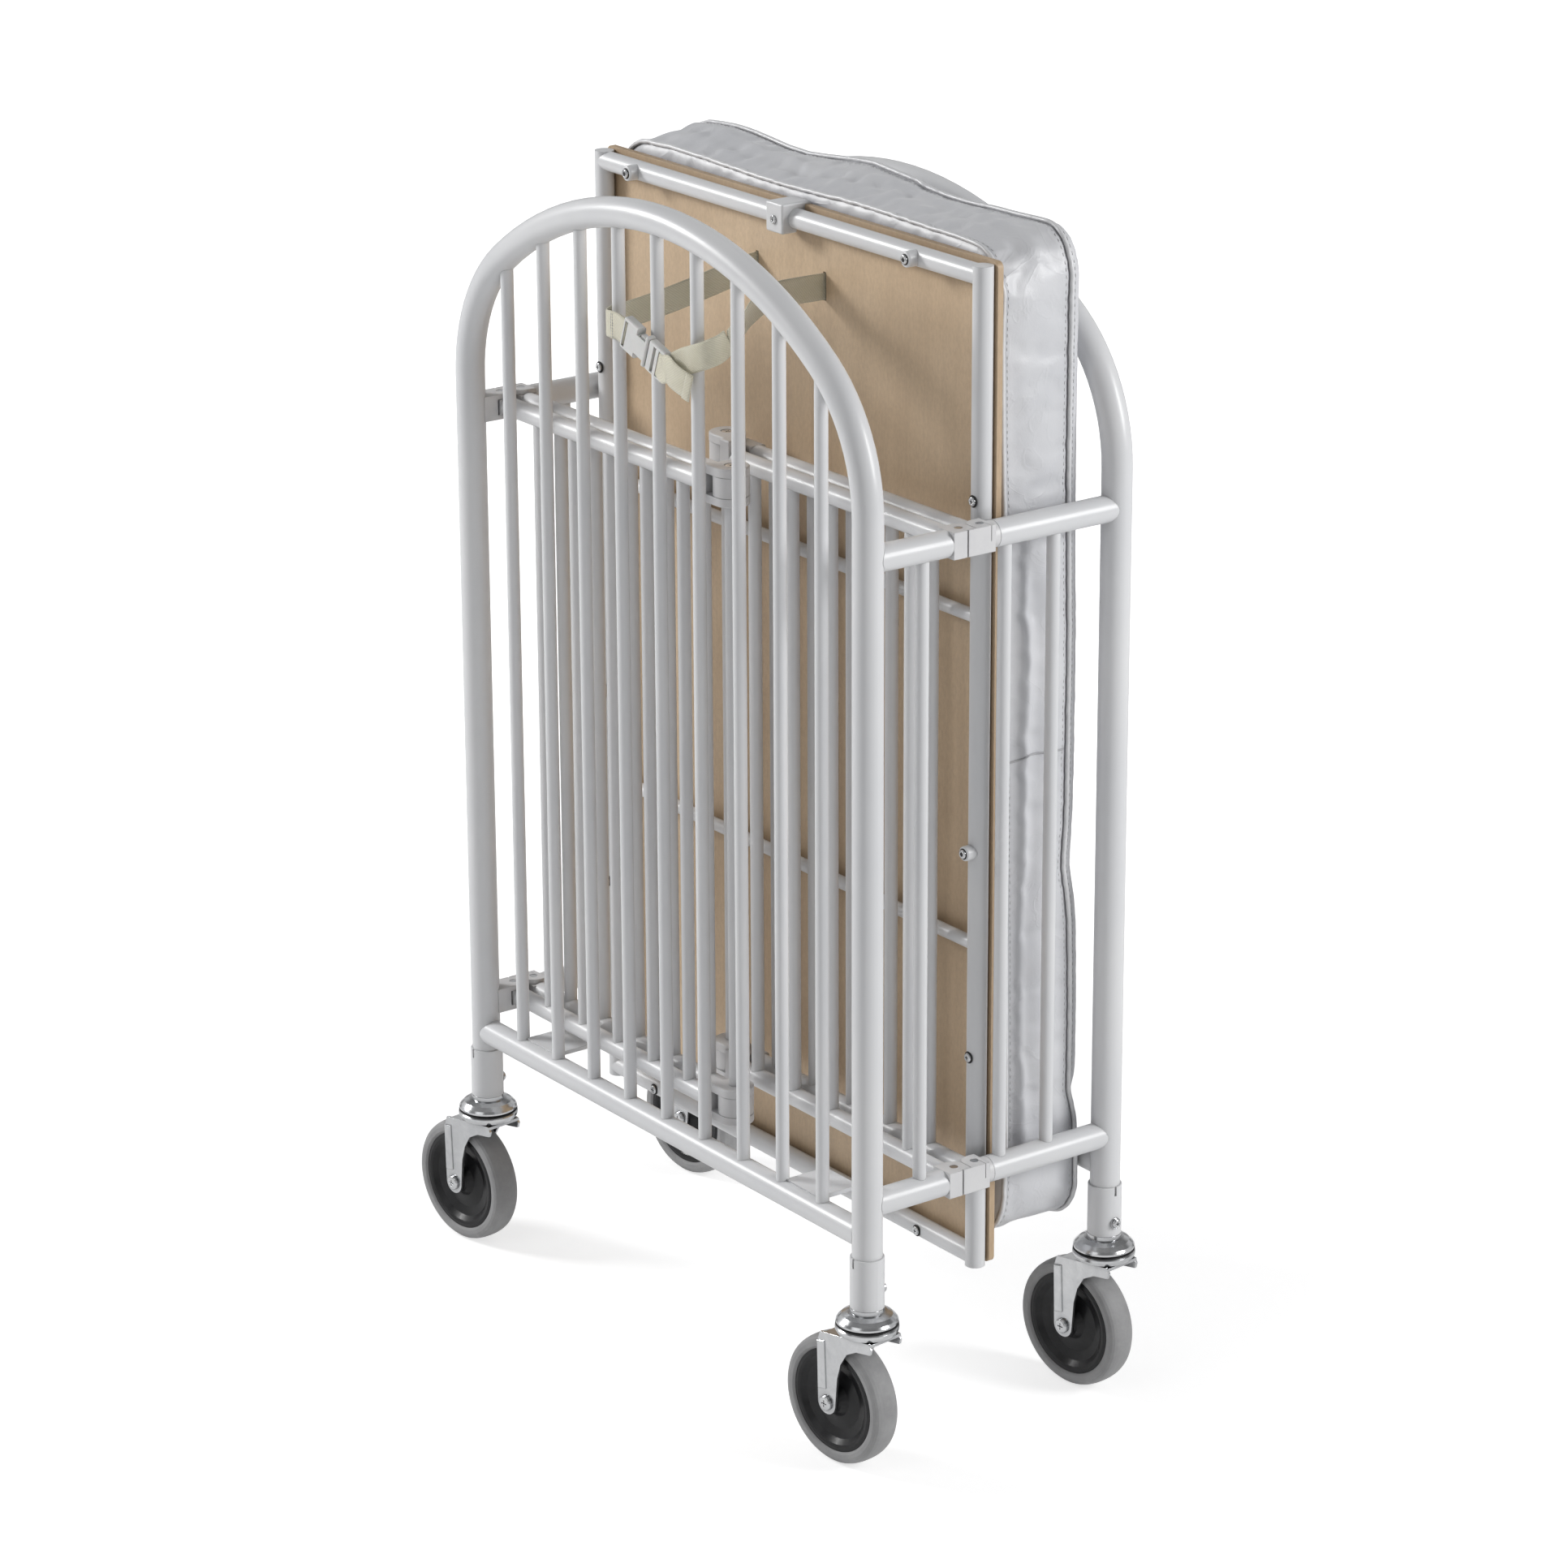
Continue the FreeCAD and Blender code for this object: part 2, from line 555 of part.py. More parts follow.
fittings, rear_screws = [], []
for x, z, radius, length in ((-232.0, BOARD_HI, 7.5, 9.0), (206.0, BOARD_HI, 7.5, 9.0),
                             (-BOARD_X, 575.0, 7.0, 8.0), (BOARD_X, 575.0, 7.0, 8.0)):
    body, boss_screw = boss(x, z, radius, length)
    fittings.append(body)
    rear_screws.append(boss_screw)
for x, z in ((-BOARD_X, 908.0), (-BOARD_X, 373.0), (BOARD_X, 908.0), (BOARD_X, 373.0),
             (-218.0, BOARD_LO), (218.0, BOARD_LO)):
    rear_screws.append(tube_screw(x, z))
fittings.append(spring_clip())
rear_screws.append(aim(screw(4.2, 1.8, 4.6), (CLIP_SCREW_X, CLIP_FACE_Y, CLIP_SCREW_Z),
                       (0, -1, 0)))
put_all("board_fittings", fittings)
put_all("rear_screws", rear_screws + rear_sleeve_screws)

# ------------------------------------------------------------------- mattress
MAT_Y0, MAT_Y1 = 162.0, 250.0
MAT_X = 301.0
MAT_LO, MAT_HI = 172.0, 1144.0
MAT_ROUND = 16.0


def mattress():
    body = soften(box(-MAT_X, MAT_X, MAT_Y0, MAT_Y1, MAT_LO, MAT_HI), MAT_ROUND)
    # the cover gives way where the rear rest tabs press into it
    half_w = TAB_W / 2 + 3
    for x in (-TAB_X, TAB_X):
        body = body.cut(box(x - half_w, x + half_w, DEPTH - TAB_L - 0.8, MAT_Y1 + 1,
                            MAT_LO - 1, CROSS_Z + BAR_R + 6))
    return clean(body)


put("mattress", mattress())

# ----------------------------------------------------------- strap and buckle
# buckle frame: x along the band to the free tail, y towards the spindles,
# z across the band
STRAP_W, STRAP_T = 25.0, 2.0
STRAP_START_Y = PANEL_Y0 - 3.8
BUCKLE = V(2.0, -13.0, 1009.0)       # middle of the closed buckle
BAND = V(0.944, 0, -0.33).normalize()
ACROSS = V(-BAND.z, 0, BAND.x)
SLOT_HALF_W = 12.8                   # band slots in both buckle halves


def strap_run(start, end):
    """Flat band between two points, its width upright."""
    start = V(*start)
    run = V(*end) - start
    normal = V(-run.y, run.x, 0).normalize()
    up = run.cross(normal).normalize()
    if up.z < 0:
        up = up * -1
    thick, wide = normal * (STRAP_T / 2), up * (STRAP_W / 2)
    return polygon_face([start + thick + wide, start - thick + wide,
                         start - thick - wide, start + thick - wide]).extrude(run)


def in_place(shape):
    placed = shape.copy()
    placed.transformShape(FreeCAD.Matrix(
        BAND.x, 0, ACROSS.x, BUCKLE.x,
        0, 1, 0, BUCKLE.y,
        BAND.z, 0, ACROSS.z, BUCKLE.z,
        0, 0, 0, 1))
    return placed


def flat_strap(x0, x1):
    return in_place(centred_box(x0, x1, STRAP_T / 2, STRAP_W / 2))


def buckle_socket():
    body = soften(centred_box(-37, 4, 5, 16), 2.6)
    body = body.cut(centred_box(-12, 5, 3.2, 12.5))           # mouth
    body = body.cut(box(-14, 0, -6, 6, 9.5, 17))              # side windows
    body = body.cut(box(-14, 0, -6, 6, -17, -9.5))
    body = body.cut(centred_box(-33.5, -29.5, 6, SLOT_HALF_W))
    return in_place(largest(body))


def buckle_plug():
    body = soften(centred_box(4.6, 32, 4.5, 15.5), 2.4)
    for z in (-9.4, 9.4):                                     # outer prongs
        body = body.fuse(box(-9.5, 6, -2.7, 2.7, z - 2.4, z + 2.4))
    body = body.fuse(centred_box(-7, 6, 1.6, 2.5))            # middle tongue
    for x in (13.0, 21.5):
        body = body.cut(centred_box(x, x + 4.2, 6, SLOT_HALF_W))
    return in_place(clean(body))


put_all("strap_runs", [strap_run((SLOT_L, STRAP_START_Y, SLOT_Z), (-72.5, 15, 1022)),
                       strap_run((SLOT_R, STRAP_START_Y, SLOT_Z), (88, 15, 1034))])
put("strap_wrap", flat_strap(-74, -37.2))
put("buckle_socket", buckle_socket())
put("buckle_plug", buckle_plug())
put("strap_tail", flat_strap(32.3, 62))

# -------------------------------------------------------------------- casters
# caster frame: stem axis on Z, the wheel trails towards +X, axle along Y
WHEEL_R = 63.5
TYRE_IN, TYRE_HALF = 50.6, 14.6
TRAIL = 33.5
YAW = 186.6                          # all four trail the same way
FORK_IN, FORK_T = 17.4, 2.6
FORK_OUT = FORK_IN + FORK_T
FORK_END_R = 11.5                    # round end about the axle
RIB_T, RIB_SINK = 1.5, 0.01
RACE_R = 29.2
AXLE_R = 5.0
AXLE_HALF = FORK_OUT + 0.2

# outlines of (x, z) points
FORK_OUTLINE = [
    (TRAIL + FORK_END_R, WHEEL_R), (TRAIL + 12.5, 100), (TRAIL + 13.0, 122),
    (TRAIL + 9.0, 133.5), (-22.0, 141.5), (-26.0, 136.5), (-24.5, 131.0), (-6.0, 128.0),
    (7.0, 121.0), (15.0, 108.0), (19.5, 92.0), (TRAIL - FORK_END_R, WHEEL_R)]
RIB_OUTLINE = [(TRAIL + 11.0, WHEEL_R + 12), (TRAIL + 12.2, 124), (TRAIL + 2.5, 126),
               (TRAIL + 0.5, WHEEL_R + 14)]
# profiles of (radius, z) points about the stem
CUP_PROFILE = [(9.0, 139.0), (21, 139.0), (RACE_R - 1.0, 142.6), (RACE_R + 0.7, 145.6),
               (RACE_R + 0.7, 148.2), (RACE_R - 0.8, 149.8), (9.0, 149.8)]
RACE_PROFILE = [
    (0, 132.0), (6.0, 132.0), (6.0, 151.4), (RACE_R - 2.2, 151.4), (RACE_R, 152.6),
    (RACE_R, 154.4), (RACE_R - 1.6, 156.6), (24.0, 160.0), (19.0, 162.4), (16.4, 163.0),
    (16.4, 167.2), (12.7, 167.2), (12.7, 200.0), (11.2, 203.0), (0, 203.0)]
# half profiles of (radius, distance from the wheel's mid plane) points
CORE_PROFILE = [
    (5.06, 15.8), (11.5, 15.8), (12.5, 13.5), (17.0, 8.0), (30.0, 6.0), (39.0, 8.6),
    (44.0, 12.6), (47.0, 13.2), (TYRE_IN - 0.05, 12.6)]
TYRE_PROFILE = [
    (TYRE_IN, 12.4), (TYRE_IN + 1.2, 13.6), (53.0, TYRE_HALF - 0.2), (57.0, TYRE_HALF),
    (60.0, TYRE_HALF - 0.9), (61.8, TYRE_HALF - 3.0), (62.8, TYRE_HALF - 6.0),
    (63.35, TYRE_HALF - 10.0), (WHEEL_R, 0.0)]


def on_axle(radius, y0, y1):
    return cyl(radius, (TRAIL, y0, WHEEL_R), (TRAIL, y1, WHEEL_R))


def fork_leg(side):
    y0 = FORK_IN if side > 0 else -FORK_OUT
    leg = face_xz(FORK_OUTLINE, y0).extrude(V(0, FORK_T, 0))
    leg = clean(leg.fuse(on_axle(FORK_END_R, y0, y0 + FORK_T)))
    # raised rib on the outside, along the trailing edge
    rib_y = FORK_OUT - RIB_SINK if side > 0 else -FORK_OUT - RIB_T + RIB_SINK
    rib = face_xz(RIB_OUTLINE, rib_y).extrude(V(0, RIB_T, 0))
    rib = soften(rib, 1.2, lambda e: min(side * e.BoundBox.YMin, side * e.BoundBox.YMax)
                 > FORK_OUT + 1.3)
    return leg.fuse(rib)


def caster_fork():
    body = fork_leg(-1).fuse(fork_leg(1))
    # crown: sloping plate that joins both legs under the race
    crown = box(-24.5, TRAIL + 6.0, -FORK_OUT, FORK_OUT, 0, 3.0)
    crown.rotate(V(-24.5, 0, 0), V(0, 1, 0), 7.3)
    crown.translate(V(0, 0, 138.2))
    body = body.fuse(crown.common(box(-26, 44, -60, 60, 100, 141.6)))
    body = body.fuse(revolve(CUP_PROFILE))
    body = body.cut(upright(6.05, 0, 0, 110, 170))
    body = body.cut(on_axle(AXLE_R + FIT, -40, 40))
    # keep the wheel free under the crown
    room_y = FORK_IN - 0.1
    return largest(clean(body.cut(on_axle(WHEEL_R + 2.2, -room_y, room_y))))


def caster_axle():
    """Axle with a round head on +Y and a hexagon nut on -Y."""
    head = round_head(7.4, 0, 3.6, 2.2).cut(cross_recess(3.6, 3.4, 1.8))
    head = aim(head, (TRAIL, AXLE_HALF, WHEEL_R), (0, 1, 0))
    hexagon = [(TRAIL + 8 * cos(radians(60 * i)), WHEEL_R + 8 * sin(radians(60 * i)))
               for i in range(6)]
    nut = face_xz(hexagon, -AXLE_HALF).extrude(V(0, -5.5, 0))
    return clean(on_axle(AXLE_R, -AXLE_HALF, AXLE_HALF).fuse(head).fuse(nut))


def wheel_ring(half_profile):
    """Revolve a half profile and its mirror image about the axle."""
    mirrored = [(r, -h) for r, h in reversed(half_profile) if h > 0]
    ring = revolve(half_profile + mirrored)
    ring.rotate(V(0, 0, 0), V(1, 0, 0), -90)
    ring.translate(V(TRAIL, 0, WHEEL_R))
    return ring


def at_leg(shape, x, y):
    placed = shape.copy()
    placed.rotate(V(0, 0, 0), V(0, 0, 1), YAW)
    placed.translate(V(x, y, 0))
    return placed


caster_pieces = {"fork": caster_fork(), "axle": caster_axle(),
                 "core": wheel_ring(CORE_PROFILE), "tyre": wheel_ring(TYRE_PROFILE)}
# upper cup with collar, king pin below and stem above, fixed in the leg
race = revolve(RACE_PROFILE)
for end, y in (("front", 0.0), ("rear", DEPTH)):
    for side, x in (("l", -LEG_X), ("r", LEG_X)):
        for piece, shape in caster_pieces.items():
            put("caster_%s%s_%s" % (end[0], side, piece), at_leg(shape, x, y))
    put_all(end + "_caster_races", [at_leg(race, x, y) for x in (-LEG_X, LEG_X)])
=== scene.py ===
# Looks of a folding steel crib, standing on the floor with +Z up. The two end frames stand
# across Y: the front one at low Y, the rear one at high Y. X runs from left to right.
# Built here: materials, the padded mattress between the end frames, the webbing strap,
# black rings at the casters as painted shade, board washer rings with black socket discs
# as painted shade, the floor, the lights and the camera.
import bpy
import bmesh
import math
import numpy as np
from mathutils import Vector, Matrix, noise
from mathutils.bvhtree import BVHTree
from mathutils.kdtree import KDTree

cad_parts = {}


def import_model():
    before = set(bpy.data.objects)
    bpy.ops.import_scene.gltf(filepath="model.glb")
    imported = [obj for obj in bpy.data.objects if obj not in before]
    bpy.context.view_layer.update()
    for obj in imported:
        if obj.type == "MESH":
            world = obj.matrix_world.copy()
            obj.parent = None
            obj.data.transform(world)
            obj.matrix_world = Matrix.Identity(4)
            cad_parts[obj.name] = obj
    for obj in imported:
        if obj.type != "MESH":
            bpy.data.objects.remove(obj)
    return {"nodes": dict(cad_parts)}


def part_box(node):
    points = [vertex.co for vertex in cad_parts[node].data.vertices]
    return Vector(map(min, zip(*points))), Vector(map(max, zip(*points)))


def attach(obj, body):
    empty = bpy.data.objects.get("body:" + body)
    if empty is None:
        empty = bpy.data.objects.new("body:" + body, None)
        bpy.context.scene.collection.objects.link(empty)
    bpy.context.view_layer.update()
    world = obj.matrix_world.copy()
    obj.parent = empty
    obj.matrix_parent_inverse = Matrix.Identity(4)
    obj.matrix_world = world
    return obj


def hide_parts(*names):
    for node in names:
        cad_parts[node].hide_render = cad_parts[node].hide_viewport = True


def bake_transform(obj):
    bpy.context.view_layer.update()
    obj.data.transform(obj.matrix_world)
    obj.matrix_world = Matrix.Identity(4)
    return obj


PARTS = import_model()["nodes"]
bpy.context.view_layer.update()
SCENE = bpy.context.scene

# ------------------------------------------------------------ reference places
ARCH_LO, ARCH_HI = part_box("front_arch")
REAR_ARCH_LO, REAR_ARCH_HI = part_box("rear_arch")
TAB_LO, TAB_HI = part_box("rear_rest_tabs")
BOARD_LO, BOARD_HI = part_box("board_frame")
MID_X = (ARCH_LO.x + ARCH_HI.x) / 2               # middle of the end frames
FRONT_Y = (ARCH_LO.y + ARCH_HI.y) / 2             # plane of the front end frame
REAR_Y = (REAR_ARCH_LO.y + REAR_ARCH_HI.y) / 2    # plane of the rear end frame


def at(x, y, z):
    """Millimetres from the middle of the front end frame at floor level, as a point in metres."""
    return Vector((MID_X + x / 1000, FRONT_Y + y / 1000, z / 1000))


def in_mm(point):
    """The reverse of at()."""
    return ((point.x - MID_X) * 1000, (point.y - FRONT_Y) * 1000, point.z * 1000)


# ---------------------------------------------------------------- shader nodes
class Nodes:
    """Short calls that add nodes to a shader tree, which starts empty."""

    def __init__(self, tree):
        self.tree = tree
        tree.nodes.clear()

    def feed(self, socket, value):
        """Link a socket, or set a value; a colour gets its alpha."""
        if isinstance(value, bpy.types.NodeSocket):
            self.tree.links.new(value, socket)
        elif isinstance(value, tuple) and len(value) == 3 and len(socket.default_value) == 4:
            socket.default_value = (*value, 1.0)
        else:
            socket.default_value = value

    def node(self, kind, **inputs):
        """A node with its inputs fed by name, an underscore standing for a space."""
        made = self.tree.nodes.new(kind)
        for name, value in inputs.items():
            if value is not None:
                self.feed(made.inputs[name.replace("_", " ")], value)
        return made

    def ramp(self, value, stops):
        """Colour ramp through (position, grey or colour)."""
        made = self.node("ShaderNodeValToRGB")
        self.feed(made.inputs[0], value)
        elements = made.color_ramp.elements
        while len(elements) < len(stops):
            elements.new(0.5)
        for element, (position, tone) in zip(elements, stops):
            element.position = position
            element.color = (*tone, 1) if isinstance(tone, tuple) else (tone, tone, tone, 1)
        return made.outputs[0]

    def mix(self, amount, first, second):
        made = self.node("ShaderNodeMix")
        made.data_type = "RGBA"
        for socket, value in ((0, amount), (6, first), (7, second)):
            self.feed(made.inputs[socket], value)
        return made.outputs[2]


class Material(Nodes):
    """A Principled material; lengths are in metres, textures lie in object space."""

    SOCKETS = {"color": "Base Color", "metal": "Metallic", "rough": "Roughness",
               "normal": "Normal", "coat": "Coat Weight", "coat_rough": "Coat Roughness",
               "sheen": "Sheen Weight", "sheen_rough": "Sheen Roughness",
               "spec": "Specular IOR Level", "aniso": "Anisotropic",
               "sss": "Subsurface Weight", "sss_scale": "Subsurface Scale",
               "glow_color": "Emission Color", "glow": "Emission Strength"}

    def __init__(self, name):
        self.data = bpy.data.materials.new(name)
        self.data.use_nodes = True
        super().__init__(self.data.node_tree)
        output = self.node("ShaderNodeOutputMaterial")
        self.shader = self.node("ShaderNodeBsdfPrincipled")
        self.tree.links.new(self.shader.outputs[0], output.inputs[0])
        self.place = self.node("ShaderNodeTexCoord").outputs["Object"]

    def finish(self, **values):
        for key, value in values.items():
            self.feed(self.shader.inputs[self.SOCKETS[key]], value)
        return self.data

    # textures
    def mapping(self, scale, turn=(0, 0, 0), vector=None):
        return self.node("ShaderNodeMapping", Vector=vector or self.place,
                         Scale=scale, Rotation=turn).outputs[0]

    def noise(self, scale, detail=3.0, rough=0.5, vector=None, warp=0.0):
        return self.node("ShaderNodeTexNoise", Vector=vector or self.place, Scale=scale,
                         Detail=detail, Roughness=rough, Distortion=warp).outputs[0]

    def voronoi(self, scale, feature="F1"):
        made = self.node("ShaderNodeTexVoronoi", Vector=self.place, Scale=scale)
        made.feature = feature
        return made.outputs[0]

    def wave(self, scale, axis, vector=None, warp=0.0, warp_scale=1.0):
        made = self.node("ShaderNodeTexWave", Vector=vector or self.place, Scale=scale,
                         Distortion=warp, Detail=1.0, Detail_Scale=warp_scale)
        made.bands_direction = axis
        return made.outputs[1]

    # values
    def math(self, operation, first, second=0.0, clamp=False):
        made = self.node("ShaderNodeMath")
        made.operation = operation
        made.use_clamp = clamp
        self.feed(made.inputs[0], first)
        self.feed(made.inputs[1], second)
        return made.outputs[0]

    def times(self, first, second, clamp=False):
        return self.math("MULTIPLY", first, second, clamp)

    def plus(self, first, second):
        return self.math("ADD", first, second)

    def fade(self, value, start=0.3, end=0.7, low=0.0, high=1.0):
        """Goes from low to high (greys or colours) as the value goes from start to end."""
        return self.ramp(value, [(start, low), (end, high)])

    def spread(self, value, low=0.0, high=1.0, start=0.0, end=1.0, easing="LINEAR"):
        made = self.node("ShaderNodeMapRange", Value=value, From_Min=start, From_Max=end,
                         To_Min=low, To_Max=high)
        made.interpolation_type = easing
        return made.outputs[0]

    def stain(self, color, mask, tint, amount=None):
        """Mixes a tint in where the mask is high."""
        if amount is not None:
            mask = self.times(mask, amount)
        return self.mix(mask, color, tint)

    # shape
    def bump(self, height, depth, strength, over=None):
        return self.node("ShaderNodeBump", Strength=strength, Distance=depth, Height=height,
                         Normal=over).outputs[0]

    def bevel(self, radius):
        made = self.node("ShaderNodeBevel", Radius=radius)
        made.samples = 3
        return made.outputs[0]

    def worn_edge(self, radius):
        """1 on a worn edge, 0 on a flat face."""
        dot = self.node("ShaderNodeVectorMath")
        dot.operation = "DOT_PRODUCT"
        self.feed(dot.inputs[0], self.bevel(radius))
        self.feed(dot.inputs[1], self.node("ShaderNodeNewGeometry").outputs["Normal"])
        return self.spread(self.math("SUBTRACT", 1.0, dot.outputs["Value"]), start=0.01, end=0.2)

    def crevices(self, reach):
        """1 deep in a gap, 0 in the open, from ambient occlusion; the materials darken by it to
        paint shade into gaps.
        """
        made = self.node("ShaderNodeAmbientOcclusion", Distance=reach)
        made.samples = 4
        return self.math("SUBTRACT", 1.0, made.outputs["AO"], clamp=True)


# ------------------------------------------------------------------- materials
def powder_coat():
    mat = Material("powder_coat")
    color = mat.fade(mat.noise(scale=5.0, rough=0.55),
                     low=(0.735, 0.745, 0.765), high=(0.80, 0.805, 0.815))
    grime_and_shade_noise = mat.noise(scale=38.0, detail=5.0, rough=0.65)
    # painted shade: darker in the crevices, made patchy by a noise that also sets the roughness
    painted_crevice_shade = mat.times(mat.crevices(reach=0.012), mat.spread(grime_and_shade_noise, low=0.35), clamp=True)
    color = mat.stain(color, painted_crevice_shade, tint=(0.40, 0.40, 0.39))
    streaks = mat.noise(scale=24.0, detail=6.0, rough=0.7, vector=mat.mapping((1, 1, 0.25)))
    scuff = mat.fade(streaks, start=0.66, end=0.78)
    color = mat.stain(color, scuff, tint=(0.62, 0.62, 0.63), amount=0.16)
    fine_peel = mat.noise(scale=620.0, detail=2.0)
    peel = mat.noise(scale=210.0, detail=2.0)
    normal = mat.bump(mat.plus(mat.times(fine_peel, 0.5), peel), depth=0.00006, strength=0.5,
                      over=mat.bevel(radius=0.0009))
    rough = mat.plus(mat.spread(grime_and_shade_noise, low=0.30, high=0.44), mat.times(scuff, 0.14))
    return mat.finish(color=color, rough=rough, normal=normal, coat=0.20, coat_rough=0.20,
                      spec=0.45)


def cast_white():
    mat = Material("cast_white")
    patches = mat.noise(scale=22.0, detail=4.0, rough=0.6)
    color = mat.fade(patches, low=(0.70, 0.70, 0.715), high=(0.785, 0.785, 0.79))
    # painted shade in the gaps and hollows
    color = mat.stain(color, mat.crevices(reach=0.010), tint=(0.33, 0.33, 0.33), amount=0.8)
    chips = mat.fade(mat.noise(scale=130.0, detail=4.0), start=0.45, end=0.6)
    wear = mat.times(mat.worn_edge(radius=0.0006), chips)
    color = mat.stain(color, wear, tint=(0.47, 0.48, 0.50), amount=0.35)
    sand = mat.noise(scale=420.0, rough=0.6)
    normal = mat.bump(sand, depth=0.00012, strength=0.55, over=mat.bevel(radius=0.0011))
    return mat.finish(color=color, rough=mat.spread(patches, low=0.36, high=0.50),
                      normal=normal, coat=0.15, coat_rough=0.3)


def zinc():
    mat = Material("zinc_chrome")
    smear = mat.noise(scale=55.0, detail=5.0, rough=0.65, warp=0.6)
    color = mat.fade(smear, start=0.25, end=0.75,
                     low=(0.60, 0.61, 0.63), high=(0.80, 0.81, 0.82))
    # painted shade in the gaps and hollows
    color = mat.stain(color, mat.crevices(reach=0.006), tint=(0.10, 0.10, 0.105))
    brushing = mat.noise(scale=900.0, detail=2.0, vector=mat.mapping((1, 1, 0.12)))
    normal = mat.bump(brushing, depth=0.00002, strength=0.35, over=mat.bevel(radius=0.0007))
    return mat.finish(color=color, metal=1.0, rough=mat.spread(smear, low=0.12, high=0.27),
                      normal=normal, aniso=0.25)


def hardboard():
    mat = Material("hardboard")
    patches = mat.noise(scale=3.2, rough=0.55)
    color = mat.ramp(patches, [(0.32, (0.60, 0.445, 0.29)), (0.52, (0.69, 0.525, 0.355)),
                               (0.72, (0.76, 0.59, 0.41))])
    fibre = mat.noise(scale=300.0, detail=6.0, rough=0.72, vector=mat.mapping((1, 1, 0.5)))
    color = mat.stain(color, mat.fade(fibre, start=0.38, end=0.60, low=1.0, high=0.0),
                      tint=(0.33, 0.22, 0.13), amount=0.22)
    fleck = mat.fade(mat.voronoi(scale=420.0), start=0.0, end=0.16, low=1.0, high=0.0)
    color = mat.stain(color, fleck, tint=(0.30, 0.19, 0.11), amount=0.16)
    streaks = mat.noise(scale=60.0, detail=5.0, rough=0.7, vector=mat.mapping((1, 1, 0.07)))
    color = mat.stain(color, mat.fade(streaks, start=0.40, end=0.58, low=1.0, high=0.0),
                      tint=(0.42, 0.30, 0.19), amount=0.16)
    # the cut edges, which face away from Y, show the layers of the board
    facing = mat.node("ShaderNodeSeparateXYZ",
                      Vector=mat.node("ShaderNodeNewGeometry").outputs["True Normal"])
    cut = mat.math("SUBTRACT", 1.0, mat.math("ABSOLUTE", facing.outputs[1]), clamp=True)
    layers = mat.noise(scale=1.0, detail=4.0, rough=0.6, vector=mat.mapping((90, 1800, 90)))
    layers = mat.fade(layers, low=(0.40, 0.27, 0.16), high=(0.62, 0.46, 0.30))
    color = mat.stain(color, cut, tint=layers, amount=0.55)
    # painted shade where other parts come near the board, up to 3 cm away
    color = mat.stain(color, mat.crevices(reach=0.03), tint=(0.26, 0.18, 0.11), amount=0.55)
    color = mat.stain(color, mat.worn_edge(radius=0.0012), tint=(0.70, 0.55, 0.39), amount=0.5)
    normal = mat.bump(mat.plus(fibre, mat.times(streaks, 0.5)), depth=0.00010, strength=0.5,
                      over=mat.bevel(radius=0.0006))
    return mat.finish(color=color, rough=mat.spread(fibre, low=0.42, high=0.62), normal=normal,
                      coat=0.12, coat_rough=0.35)


def vinyl():
    mat = Material("vinyl")
    color = mat.fade(mat.noise(scale=7.0, detail=4.0, rough=0.6),
                     low=(0.645, 0.655, 0.685), high=(0.75, 0.755, 0.775))
    # painted shade in the creases and where the cover meets other parts
    color = mat.stain(color, mat.crevices(reach=0.016), tint=(0.27, 0.27, 0.29), amount=0.75)
    grain = mat.voronoi(scale=760.0, feature="SMOOTH_F1")
    fine = mat.noise(scale=1500.0, detail=2.0)
    pucker = mat.noise(scale=46.0, detail=4.0, rough=0.6, warp=0.8)
    crease = mat.ramp(mat.noise(scale=15.0, warp=1.4), [(0.47, 0.0), (0.5, 1.0), (0.53, 0.0)])
    normal = mat.bump(pucker, depth=0.0016, strength=0.22)
    normal = mat.bump(crease, depth=0.0009, strength=0.18, over=normal)
    normal = mat.bump(mat.plus(grain, mat.times(fine, 0.4)), depth=0.00012, strength=0.45,
                      over=normal)
    rough = mat.plus(mat.spread(pucker, low=0.32, high=0.46), mat.times(grain, 0.10))
    return mat.finish(color=color, rough=rough, normal=normal, coat=0.18, coat_rough=0.28,
                      sheen=0.08)


def piping_vinyl():
    mat = Material("piping_vinyl")
    patches = mat.noise(scale=60.0, detail=4.0, rough=0.6)
    color = mat.fade(patches, low=(0.72, 0.725, 0.745), high=(0.82, 0.82, 0.83))
    # painted shade in the gaps beside the piping
    color = mat.stain(color, mat.crevices(reach=0.006), tint=(0.20, 0.20, 0.21), amount=0.8)
    dents = mat.bump(mat.noise(scale=120.0), depth=0.0012, strength=0.3)
    normal = mat.bump(mat.noise(scale=900.0, rough=0.6), depth=0.0002, strength=0.5, over=dents)
    return mat.finish(color=color, rough=mat.spread(patches, low=0.30, high=0.42),
                      normal=normal, coat=0.2, coat_rough=0.25)


def thread():
    mat = Material("stitch_thread")
    twist = mat.noise(scale=2400.0, detail=2.0, rough=0.6)
    return mat.finish(color=mat.fade(twist, low=(0.50, 0.50, 0.51), high=(0.74, 0.74, 0.74)),
                      rough=0.72, normal=mat.bump(twist, depth=0.0001, strength=0.6), sheen=0.3)


def seam_groove_shade():
    mat = Material("seam_groove_shade")
    patches = mat.noise(scale=150.0, detail=4.0, rough=0.6)
    # painted shade: the side seam's thin tube is dark grey to stand for the shade in its groove
    color = mat.fade(patches, low=(0.34, 0.34, 0.36), high=(0.48, 0.48, 0.50))
    color = mat.stain(color, mat.wave(scale=420.0, axis="Y"), tint=(0.66, 0.66, 0.67),
                      amount=0.5)
    return mat.finish(color=color, rough=0.6,
                      normal=mat.bump(patches, depth=0.0001, strength=0.4))


